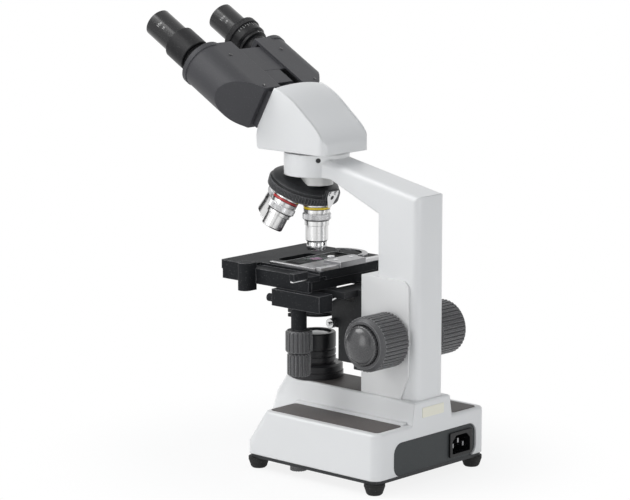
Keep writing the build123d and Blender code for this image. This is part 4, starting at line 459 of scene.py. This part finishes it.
pad_brown = finish("pad_brown", (0.100, 0.090, 0.086), 0.52, cloud=0.08, bump=0.25, grain=2400.0,
    edge_shading_colour=(0.11, 0.10, 0.095), handling=0.10, specular=0.3)
panel_dark = finish("panel_dark", (0.035, 0.040, 0.042), 0.42, cloud=0.04, bump=0.08, grain=2000.0,
    edge_shading_colour=(0.11, 0.12, 0.12), handling=0.05, specular=0.35)
chrome = finish("bright_chrome", (0.66, 0.665, 0.67), 0.17, metal=1.0, cloud=0.02, bump=0.015, grain=3000.0,
    edge=0.0003, edge_shading_colour=(0.92, 0.92, 0.93), handling=0.10)
grip_steel = finish("grip_steel", (0.56, 0.56, 0.57), 0.26, metal=1.0, cloud=0.03, bump=0.03, grain=3000.0,
    edge=0.0002, edge_shading_colour=(0.88, 0.88, 0.89), edge_strength=0.7, handling=0.06)
barrel_satin = finish("barrel_satin", (0.74, 0.74, 0.74), 0.24, metal=1.0, cloud=0.02, bump=0.03,
    grain=3000.0, edge=0.0003, edge_shading_colour=(0.30, 0.30, 0.30), edge_strength=0.7, handling=0.05)
holder_steel = finish("holder_steel", (0.30, 0.30, 0.31), 0.32, metal=1.0, cloud=0.03, bump=0.04,
    grain=3000.0, edge=0.0004, edge_shading_colour=(0.90, 0.90, 0.91), edge_strength=0.9, handling=0.08)
satin_steel = finish("satin_steel", (0.60, 0.60, 0.61), 0.30, metal=1.0, cloud=0.03, bump=0.04, grain=3000.0,
    edge=0.0003, edge_shading_colour=(0.85, 0.85, 0.86), handling=0.10)
satin_silver = finish("satin_silver", (0.62, 0.62, 0.61), 0.42, metal=0.35, cloud=0.03, bump=0.04,
    edge_shading_colour=(0.8, 0.8, 0.8), handling=0.05)
brass = finish("milled_brass", (0.62, 0.44, 0.16), 0.30, metal=1.0, cloud=0.06, bump=0.05,
    edge_shading_colour=(0.8, 0.62, 0.3), handling=0.10)
black_screw = finish("black_screw", (0.06, 0.06, 0.062), 0.34, metal=1.0, bump=0.04,
    edge_shading_colour=(0.3, 0.3, 0.3), handling=0.08)
lamp_white = finish("lamp_white", (0.78, 0.77, 0.72), 0.3, bump=0.02, handling=0.02)
board_green = finish("board_green", (0.02, 0.12, 0.05), 0.4, cloud=0.1, bump=0.1, grain=700.0, handling=0.05)
field_glass = finish("field_glass", (0.20, 0.21, 0.22), 0.30, cloud=0.02, bump=0.02, coat=0.5,
    coat_rough=0.08, handling=0.04)
pin_metal = finish("pin_metal", (0.32, 0.32, 0.33), 0.34, metal=1.0, bump=0.03, edge=0.0003, handling=0.10)
label_cream = finish("label_cream", (0.86, 0.84, 0.72), 0.55, cloud=0.02, bump=0.03, edge=0.0002,
    handling=0.03)
print(len(bpy.data.materials), "materials")


# %% Glass
def clear_glass(name, tint, rough=0.02, index=1.5):
    """Plain glass; the thin slide and the lenses let light through."""
    material = bpy.data.materials.new(name)
    material.use_nodes = True
    tree = material.node_tree
    shader = tree.nodes["Principled BSDF"]
    shader.inputs["Base Color"].default_value = (*tint, 1.0)
    shader.inputs["Transmission Weight"].default_value = 1.0
    shader.inputs["IOR"].default_value = index
    marks = place_group(tree, hand_group, Amount=0.05)
    tree.links.new(sum_of(tree, "ADD", marks.outputs["Roughness"], rough + 0.02), shader.inputs["Roughness"])
    return material


lens_glass = clear_glass("lens_glass", (0.86, 0.93, 0.95))
slide_glass = clear_glass("slide_glass", (0.90, 0.96, 0.95), index=1.02)
print("glass ready")

# %% Dress the solids
dressed = {
    enamel: ("base_casting", "arm_casting", "head_housing"),
    cover_enamel: ("focus_covers",),
    stand_black: ("base_plate", "stage_carrier", "condenser_bracket"),
    nose_black: ("turret", "nosepiece_carrier"),
    stage_black: ("stage_base_plate", "stage_top_plate", "drive_block", "filter_holder", "condenser_body"),
    head_grey: ("binocular_bridge", "prism_box_right", "prism_box_left"),
    tube_black: ("eye_tube_right", "eye_tube_left", "dioptre_ring"),
    eyepiece_black: ("eyepiece_right", "eyepiece_left"),
    knob_black: ("coarse_knobs", "y_drive_knob", "x_drive_knob", "brightness_dial", "base_thumb_screw"),
    knob_gloss: ("fine_knobs",),
    gloss_black: ("mains_inlet",),
    lamp_black: ("illuminator_housing",),
    rubber_black: ("feet",),
    pad_brown: ("base_pads",),
    panel_dark: ("rear_panel",),
    pin_metal: ("inlet_pins",),
    chrome: ("condenser_clamp_screw", "condenser_stop_lever", "click_spring"),
    barrel_satin: ("objective_10x", "objective_4x", "objective_40x", "objective_100x"),
    holder_steel: ("slide_holder", "slide_finger"),
    satin_steel: ("coarse_shaft", "fine_shaft", "stage_rail", "iris_ring"),
    satin_silver: ("nosepiece_ring",),
    brass: ("focus_slide_block",),
    black_screw: ("arm_screws", "turret_pivot"),
    lamp_white: ("lamp_module",),
    board_green: ("power_board",),
    label_cream: ("label_plate",),
    lens_glass: ("condenser_lens", "objective_lenses", "eyepiece_lenses_right", "eyepiece_lenses_left"),
    slide_glass: ("glass_slide",),
    field_glass: ("field_lens",),
}
for material, names in dressed.items():
    for name in names:
        node_mesh = frame["nodes"][name].data
        node_mesh.materials.clear()
        node_mesh.materials.append(material)
bare = set(frame["nodes"]) - {name for names in dressed.values() for name in names}
print("undressed:", sorted(bare))

# %% [markdown]
# ## Where things turn
# Each objective, eye tube and focus knob has its own axis. A frame is a matrix
# whose z axis runs along that axis, so a ring can be spun upright at the origin
# and then laid in place. Lengths are in millimetres until that last step.

# %% Frames
NOSE_APEX = Vector((0.0, 0.0, 289.0))
TILT = math.radians(20.0)
RISE = math.radians(30.0)
nose_down = Vector((0.0, -math.sin(TILT), -math.cos(TILT)))
nose_across = Vector((0.0, -math.cos(TILT), math.sin(TILT)))
tube_out = Vector((0.0, -math.cos(RISE), math.sin(RISE)))
tube_above = Vector((0.0, math.sin(RISE), math.cos(RISE)))


def frame_at(origin, z_axis, x_hint):
    """A matrix whose z axis is z_axis; x_hint leans its x axis."""
    z_axis = Vector(z_axis).normalized()
    y_axis = z_axis.cross(Vector(x_hint)).normalized()
    x_axis = y_axis.cross(z_axis)
    turn = Matrix((x_axis, y_axis, z_axis)).transposed().to_4x4()
    return Matrix.Translation(Vector(origin)) @ turn


def objective_frame(spin):
    """z runs down the objective from the point where all the axes meet."""
    angle = math.radians(spin)
    across = Vector((1.0, 0.0, 0.0)) * math.cos(angle) + nose_across * math.sin(angle)
    return frame_at(NOSE_APEX, nose_down * math.cos(TILT) + across * math.sin(TILT), across)


def tube_frame(side):
    """z runs out along an eye tube, x to the user's right."""
    return frame_at(tube_above * 255.9 + Vector((40.9 * side, 0.0, 0.0)), tube_out, (1.0, 0.0, 0.0))


objectives = {"10x": -90.0, "4x": 0.0, "100x": 90.0, "40x": 180.0}
print("objective 10x points", [round(v, 3) for v in objective_frame(-90.0).col[2][:3]])


# %% Turned shapes
def join(whole, part):
    """Adds one shape to another and frees it."""
    spare = bpy.data.meshes.new("spare")
    part.to_mesh(spare)
    part.free()
    whole.from_mesh(spare)
    bpy.data.meshes.remove(spare)


def turned(profile, where, steps=72, closed=True, ribs=None):
    """Spins (radius, height) points about z, then lays the shape in a frame; millimetres in, metres out.

    Ribs are (count, depth, low, high): the outer wall between two heights is cut into that many ribs.
    """
    shape = bmesh.new()
    verts = [shape.verts.new((radius, 0.0, height)) for radius, height in profile]
    edges = [shape.edges.new(pair) for pair in zip(verts, verts[1:])]
    if closed:
        edges.append(shape.edges.new((verts[-1], verts[0])))
    bmesh.ops.spin(
        shape, geom=verts + edges, axis=(0, 0, 1), cent=(0, 0, 0), angle=math.tau, steps=steps, use_merge=True
    )
    if ribs:
        count, depth, low, high = ribs
        widest = max(radius for radius, height in profile)
        for vert in shape.verts:
            reach = math.hypot(vert.co.x, vert.co.y)
            phase = (math.atan2(vert.co.y, vert.co.x) * count / math.tau + 0.25) % 1.0
            if reach > widest - 0.05 and low <= vert.co.z <= high and phase > 0.5:
                vert.co.x *= 1.0 - depth / reach
                vert.co.y *= 1.0 - depth / reach
    bmesh.ops.transform(shape, matrix=Matrix.Scale(MM, 4) @ where, verts=shape.verts)
    return shape


# %% [markdown]
# ## The enamelled head
# The head is a casting with a crowned back that rises to an arched crest, a raised
# bead along each cheek and rounded rear corners. It is skinned as a row of side-view
# outlines, each a little further across, so that the bead and the crown run true.

# %% Head skin
HEAD_HALF = 31.0
HEAD_LOW, HEAD_REAR = 281.4, 36.0
back_points = [Vector(p) for p in ((36.0, 290.0), (33.7, 295.05), (30.6, 299.66), (26.89, 303.79), (22.79,
    307.54), (18.5, 311.07), (14.18, 314.56), (9.91, 318.13), (5.65, 321.69), (1.28, 325.13), (-3.27,
    328.31), (-8.04, 331.17), (-13.01, 333.65), (-18.17, 335.71), (-23.48, 337.33))]
CHIN, CHEST, THROAT = (-43.9, 301.9), (-45.6, 294.0), (-45.2, 283.4)


def through(points, count):
    """Points on a smooth curve through the given ones."""
    ends = [points[0] * 2 - points[1], *points, points[-1] * 2 - points[-2]]
    curve = []
    for before, start, stop, after in zip(ends, ends[1:], ends[2:], ends[3:]):
        for step in range(count):
            t = step / count
            blend = (
                (2 * start)
                + (stop - before) * t
                + (2 * before - 5 * start + 4 * stop - after) * t * t
                + (3 * start - before - 3 * stop + after) * t**3
            )
            curve.append(blend * 0.5)
    curve.append(points[-1])
    return curve


back = through(back_points, 2)
fixed = [Vector(p) for p in (CHIN, CHEST, THROAT, (-43.2, HEAD_LOW), (35.0, HEAD_LOW), (36.0, 282.4))]


def bead(inset):
    """Height of the bead and its groove at a distance in from the cheek."""
    ridge = 0.5 * math.exp(-(((inset - 1.2) / 0.5) ** 2))
    groove = 0.95 * math.exp(-(((inset - 2.3) / 0.4) ** 2))
    return ridge - groove


def head_outline(x):
    """The side-view outline at one distance across the head."""
    inset = HEAD_HALF - abs(x)
    edge = 0.9 - math.sqrt(max(0.0, 0.81 - max(0.0, 0.9 - inset) ** 2))
    corner = 6.5 - math.sqrt(max(0.0, 42.25 - max(0.0, 6.5 - inset) ** 2))
    arch = 1.0 - (min(abs(x), HEAD_HALF - 2.4) / (HEAD_HALF - 2.4)) ** 2
    outline = []
    for place, point in enumerate(back):
        along = place / (len(back) - 1)
        ahead = back[min(place + 1, len(back) - 1)] - back[max(place - 1, 0)]
        outward = Vector((ahead.y, -ahead.x)).normalized()
        outward = outward.lerp(Vector((0.5, 0.866)), along**4).normalized()
        rise = (0.9 + 1.9 * along) * arch + bead(inset) * min(1.0, 4.0 * along) - edge
        outline.append(point + outward * rise)
    middle = Vector((-4.0, 303.0))
    for point in fixed:
        outline.append(point + (middle - point).normalized() * edge)
    limit = HEAD_REAR - corner
    return [Vector((x, min(point.x, limit), point.y)) for point in outline]


insets = [0.0, 0.06, 0.2, 0.42, 0.7, 0.9, 1.15, 1.4, 1.65, 1.9, 2.1, 2.25, 2.4, 2.6, 2.9, 3.4, 4.2, 5.4,
    7.0, 9.0, 11.5, 15.0, 20.0, 26.0]
stations = [HEAD_HALF - inset for inset in insets]
stations = stations + [0.0] + [-x for x in reversed(stations)]
head_shape = bmesh.new()
rows = [[head_shape.verts.new(point * MM) for point in head_outline(x)] for x in stations]
for row, following in zip(rows, rows[1:]):
    for place in range(len(row)):
        onward = (place + 1) % len(row)
        head_shape.faces.new((row[place], row[onward], following[onward], following[place]))
head_shape.faces.new(rows[0][::-1])
head_shape.faces.new(rows[-1])
head_skin = finished("head_skin", head_shape, "head", enamel, 32.0)
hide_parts("head_housing")
print("head skin", len(head_skin.data.polygons), "faces")


# %% [markdown]
# ## Colour bands
# Every objective carries a lacquered band whose colour tells its power at a
# glance: red for 4, yellow for 10, blue for 40 and white for 100. The band is a
# shallow ring that fills its groove. Dark lines, a knurled grip and, on three of the
# four, a bright sleeve at the tip are added in the same way.

# %% Band lacquers and bands
line_black = finish("line_black", (0.012, 0.012, 0.012), 0.4, bump=0.02, handling=0.02)
band_colours = {"4x": (0.52, 0.03, 0.03), "10x": (0.90, 0.66, 0.02), "40x": (0.03, 0.18, 0.55),
    "100x": (0.8, 0.8, 0.78)}
for power, colour in band_colours.items():
    lacquer = finish("band_" + power, colour, 0.28, bump=0.02, coat=0.4, coat_rough=0.1, edge=0.0002,
        handling=0.05)
    ring = turned([(11.38, 58.65), (11.85, 58.65), (12.0, 58.8), (12.0, 60.6), (11.85, 60.75), (11.38,
        60.75)], objective_frame(objectives[power]))
    finished("colour_band_" + power, ring, "turret", lacquer)
tip_sleeves = {"10x": (9.0, 90.9, 97.6), "40x": (6.4, 94.9, 97.4), "100x": (5.2, 97.7, 98.5)}
for power, spin in objectives.items():
    where = objective_frame(spin)
    lines = turned([(11.9, 58.2), (12.04, 58.2), (12.04, 58.6), (11.9, 58.6)], where)
    for low, high, radius in ((60.8, 61.2, 12.04), (70.65, 71.45, 11.26)):
        inner = radius - 0.14
        join(lines, turned([(inner, low), (radius, low), (radius, high), (inner, high)], where))
    finished("dark_lines_" + power, lines, "turret", line_black)
    grip = turned([(11.5, 64.9), (12.35, 64.9), (12.8, 65.35), (12.8, 69.75), (12.35, 70.2), (11.5,
        70.2)], where, steps=144, ribs=(72, 0.45, 65.0, 70.0))
    finished("knurled_grip_" + power, grip, "turret", grip_steel, 20.0)
    if power in tip_sleeves:
        radius, low, high = tip_sleeves[power]
        sleeve = turned([(radius - 0.3, low), (radius, low), (radius + 0.12, low + 0.2), (radius + 0.12,
            high - 0.2), (radius, high), (radius - 0.3, high)], where)
        finished("tip_sleeve_" + power, sleeve, "turret", chrome)
print("bands:", ", ".join(band_colours))

# %% [markdown]
# ## Powers cut into the barrels
# The magnification is engraved and filled with black. Blender's own font gives the
# figures; they are made a mesh, given a little depth and rolled round the barrel.
# The eyepieces carry theirs in white.

# %% Rolled figures
ink = finish("black_fill", (0.012, 0.012, 0.012), 0.5, bump=0.02, handling=0.02)
mark_white = finish("mark_white", (0.75, 0.75, 0.73), 0.5, bump=0.02, handling=0.02)


def rolled_text(name, words, where, radius, height, size, turn, body, material, up=False):
    """Figures that follow a round barrel, upright when the frame's z points down, or up if asked."""
    way = 1.0 if up else -1.0
    curve = bpy.data.curves.new(name, "FONT")
    curve.body = words
    curve.size = size
    curve.align_x = "CENTER"
    curve.align_y = "CENTER"
    curve.resolution_u = 3
    holder = bpy.data.objects.new(name + "_text", curve)
    mesh = bpy.data.meshes.new_from_object(holder)
    bpy.data.objects.remove(holder)
    shape = bmesh.new()
    shape.from_mesh(mesh)
    bpy.data.meshes.remove(mesh)
    bmesh.ops.remove_doubles(shape, verts=shape.verts, dist=1e-5)
    flat = shape.faces[:]
    grown = bmesh.ops.extrude_face_region(shape, geom=flat)
    raised = [v for v in grown["geom"] if isinstance(v, bmesh.types.BMVert)]
    bmesh.ops.translate(shape, vec=(0.0, 0.0, 0.12), verts=raised)
    for vert in shape.verts:
        angle = math.radians(turn) + way * vert.co.x / radius
        reach = radius - 0.06 + vert.co.z
        vert.co = Vector((reach * math.cos(angle), reach * math.sin(angle), height + way * vert.co.y))
    bmesh.ops.transform(shape, matrix=Matrix.Scale(MM, 4) @ where, verts=shape.verts)
    return finished(name, shape, body, material)


for power, spin in objectives.items():
    rolled_text("power_" + power, power[:-1], objective_frame(spin), COLLAR_RADIUS, 56.3, 3.0, 20.0, "turret",
        ink)
for side, half in ((1, "right"), (-1, "left")):
    holder_body = frame["nodes"]["eyepiece_" + half]["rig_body"]
    rolled_text("eyepiece_power_" + half, "10x", tube_frame(side), EYEPIECE_RADIUS, 320.5, 4.0, 30.0,
        holder_body, mark_white, True)
    rolled_text("eyepiece_field_" + half, "18", tube_frame(side), EYEPIECE_RADIUS, 314.5, 3.2, 30.0,
        holder_body, mark_white, True)
print("figures cut on", len(objectives), "barrels")


# %% [markdown]
# ## Small round things
# A screw head is a low cylinder with a rounded rim. Its slot is made by pushing a
# thin bar of faces down.


# %% Screws
def slotted_screw(name, centre, direction, radius, height, body, material, turn=30.0):
    """A low domed head with a straight slot across it."""
    where = frame_at(centre, direction, (0.35, 0.8, 0.45))
    where = where @ Matrix.Rotation(math.radians(turn), 4, "Z")
    shape = bmesh.new()
    bmesh.ops.create_cone(shape, cap_ends=True, segments=32, radius1=radius, radius2=radius, depth=height)
    bmesh.ops.translate(shape, vec=(0.0, 0.0, height / 2), verts=shape.verts)
    half_slot = radius * 0.16
    for offset in (-half_slot, half_slot):
        bmesh.ops.bisect_plane(shape, geom=shape.verts[:] + shape.edges[:] + shape.faces[:],
            plane_co=(0.0, offset, 0.0), plane_no=(0.0, 1.0, 0.0))
    rim = [e for e in shape.edges if e.is_manifold and e.calc_face_angle(0.0) > 1.2
        and all(v.co.z > height * 0.9 for v in e.verts)]
    bmesh.ops.bevel(shape, geom=rim, offset=height * 0.3, affect="EDGES", segments=2, profile=0.5,
        material=-1)
    bar = [f for f in shape.faces if f.normal.z > 0.99 and abs(f.calc_center_median().y) < half_slot]
    sunk = bmesh.ops.extrude_face_region(shape, geom=bar)
    moved = [v for v in sunk["geom"] if isinstance(v, bmesh.types.BMVert)]
    bmesh.ops.delete(shape, geom=bar, context="FACES_ONLY")
    bmesh.ops.translate(shape, vec=(0.0, 0.0, -height * 0.45), verts=moved)
    bmesh.ops.transform(shape, matrix=Matrix.Scale(MM, 4) @ where, verts=shape.verts)
    return finished(name, shape, body, material)


for side, half in ((1, "tube_right"), (-1, "tube_left")):
    for along in (198.6, 246.7):
        top = tube_out * along + tube_above * 277.5 + Vector((33.3 * side, 0.0, 0.0))
        slotted_screw(f"lid_screw_{half}_{int(along)}", top, tube_above, 1.7, 0.7, half,
            black_screw, turn=along)
for x in (-10.0, 10.0):
    slotted_screw(f"holder_screw_{int(x)}", (x, 32.0, 186.4), (0, 0, 1), 2.3, 0.5, "stage_x",
        satin_steel, turn=x * 4)
for x in (-50.0, 34.0):
    slotted_screw(f"rail_screw_{int(x)}", (x, 38.5, 184.15), (0, 0, 1), 1.8, 0.06, "stage_y",
        satin_steel, turn=x)
for x in (-66.0, 66.0):
    for y in (-10.0, 128.0):
        slotted_screw(f"foot_screw_{int(x)}_{int(y)}", (x, y, 4.6), (0, 0, -1), 3.2, 1.4, "stand",
            black_screw, turn=x + y)

# %% [markdown]
# ## Fine knobs
# The fine knobs are smooth domes with a notched band. One profile is turned for
# each side and laid on the focus axis.

# %% Fine knob domes
FINE_KNOB_X = 53.9
grip_band = [(4.0, 0.0), (16.9, 0.0), (17.4, 0.5), (17.4, 6.3), (16.9, 6.8), (16.4, 7.0)]
dome = through([Vector(p) for p in ((16.4, 7.0), (15.4, 8.6), (13.3, 10.5), (10.0, 12.0), (5.6, 13.2),
    (0.0, 13.75))], 4)
dome_profile = grip_band[:-1] + [(max(0.0, p.x), p.y) for p in dome] + [(0.0, 8.0), (4.0, 8.0)]
domes = bmesh.new()
for side in (1, -1):
    where = frame_at((FINE_KNOB_X * side, FOCUS_Y, FOCUS_Z), (side, 0.0, 0.0), (0.0, 1.0, 0.0))
    join(domes, turned(dome_profile, where, steps=160, ribs=(40, 0.45, 0.4, 6.4)))
dome_skin = finished("fine_knob_domes", domes, frame["nodes"]["fine_knobs"]["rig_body"],
    knob_gloss, 30.0)
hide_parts("fine_knobs")
print("domes turned")

# %% Filter glass and specimen
daylight_glass = clear_glass("daylight_glass", (0.45, 0.66, 0.92))
upright_frame = Matrix.Identity(4)
disc = turned([(0.0, 132.85), (15.0, 132.85), (15.0, 133.95), (0.0, 133.95)], upright_frame, closed=False)
finished("daylight_filter", disc, "filter", daylight_glass)


def add_bar(shape, where, x, y, z, length_x, length_y, length_z):
    """Adds one thin bar to a shape that collects them."""
    made = bmesh.ops.create_cube(shape, size=1.0)
    verts = made["verts"]
    bmesh.ops.scale(shape, vec=(length_x, length_y, length_z), verts=verts)
    bmesh.ops.translate(shape, vec=(x, y, z), verts=verts)
    bmesh.ops.transform(shape, matrix=Matrix.Scale(MM, 4) @ where, verts=verts)


def thin_plate(x0, x1, y0, y1, z0, z1, corner=0.0):
    """A flat plate between two corners, in millimetres."""
    shape = bmesh.new()
    bmesh.ops.create_cube(shape, size=1.0)
    bmesh.ops.scale(shape, vec=(x1 - x0, y1 - y0, z1 - z0), verts=shape.verts)
    bmesh.ops.translate(shape, vec=((x0 + x1) / 2, (y0 + y1) / 2, (z0 + z1) / 2), verts=shape.verts)
    if corner:
        posts = [e for e in shape.edges if abs(e.verts[0].co.z - e.verts[1].co.z) > (z1 - z0) / 2]
        bmesh.ops.bevel(shape, geom=posts, offset=corner, affect="EDGES", segments=4, profile=0.5,
            material=-1)
    bmesh.ops.scale(shape, vec=(MM, MM, MM), verts=shape.verts)
    return shape


# Whitish bars along the slide's four edges are a painted highlight: they stand for the glint of the glass
# edges.
slide_edge_highlights = bmesh.new()
for x, y, length_x, length_y in ((0.0, -12.75, 75.6, 0.5), (0.0, 12.65, 75.6, 0.5), (-37.55, 0.0, 0.5, 25.4),
        (37.55, 0.0, 0.5, 25.4)):
    add_bar(slide_edge_highlights, upright_frame, x, y, 182.12, length_x, length_y, 0.05)
slide_highlight_white = finish("slide_highlight_white", (0.80, 0.82, 0.82), 0.35, bump=0.05, handling=0.02)
finished("slide_edge_highlights", slide_edge_highlights, "stage_x", slide_highlight_white)
arm = thin_plate(57.2, 75.2, 36.2, 41.8, 177.0, 183.6, 0.4)
finished("cross_drive_bar", arm, "stage_y", stage_black)
strip = thin_plate(57.2, 75.25, 37.4, 40.6, 175.6, 176.6, 0.3)
finished("cross_drive_rack", strip, "stage_y", chrome)
cap = turned([(0.0, 183.4), (3.2, 183.4), (3.5, 183.7), (3.5, 187.0), (3.1, 187.4), (0.0, 187.5)],
    Matrix.Translation((2.0, 19.0, 0.0)), steps=96, closed=False, ribs=(24, 0.3, 183.6, 187.2))
finished("holder_thumb_cap", cap, "stage_x", chrome, 25.0)
finished("cover_slip", thin_plate(-9.0, 9.0, -9.0, 9.0, 182.2, 182.35), "stage_x", slide_glass)
stain = finish("tissue_stain", (0.45, 0.10, 0.30), 0.5, cloud=0.25, grain=500.0, bump=0.1, handling=0.02)
tissue = bmesh.new()
bmesh.ops.create_circle(tissue, cap_ends=True, segments=28, radius=5.2)
for place, vert in enumerate(tissue.verts):
    vert.co *= 1.0 + 0.16 * math.sin(place * 0.9) + 0.08 * math.sin(place * 2.3 + 1.0)
sheet_top = bmesh.ops.extrude_face_region(tissue, geom=tissue.faces[:])
bmesh.ops.translate(tissue, vec=(0, 0, 0.08), verts=[v for v in sheet_top["geom"] if isinstance(v,
    bmesh.types.BMVert)])
bmesh.ops.translate(tissue, vec=(0.6, -0.4, 182.11), verts=tissue.verts)
bmesh.ops.scale(tissue, vec=(MM, MM, MM), verts=tissue.verts)
finished("tissue_section", tissue, "stage_x", stain)
print("specimen laid")


# %% [markdown]
# ## Scales
# The rail carries a millimetre scale and the dioptre ring a row of marks either
# side of zero. Each mark is a paint-thin bar.


# %% Marks
rail_marks = bmesh.new()
for step in range(-50, 36):
    length = 2.6 if step % 10 == 0 else (2.0 if step % 5 == 0 else 1.3)
    add_bar(rail_marks, upright_frame, step, 36.1 + length / 2, 184.2, 0.16, length, 0.05)
finished("rail_scale", rail_marks, "stage_y", ink)

ring_marks = bmesh.new()
for step in range(-6, 7):
    turn = Matrix.Rotation(math.radians(90.0 + step * 9.0), 4, "Z")
    length = 3.6 if step == 0 else (2.8 if step % 2 == 0 else 1.8)
    add_bar(ring_marks, tube_frame(-1) @ turn, 17.0, 0.0, 296.2 - length / 2, 0.12, 0.4, length)
finished("dioptre_scale", ring_marks, "dioptre", mark_white)
index_mark = bmesh.new()
add_bar(index_mark, tube_frame(-1) @ Matrix.Rotation(math.radians(90.0), 4, "Z"), 15.1, 0.0, 284.2, 0.12,
    0.6, 2.0)
finished("dioptre_index", index_mark, "tube_left", mark_white)
print("marks made")
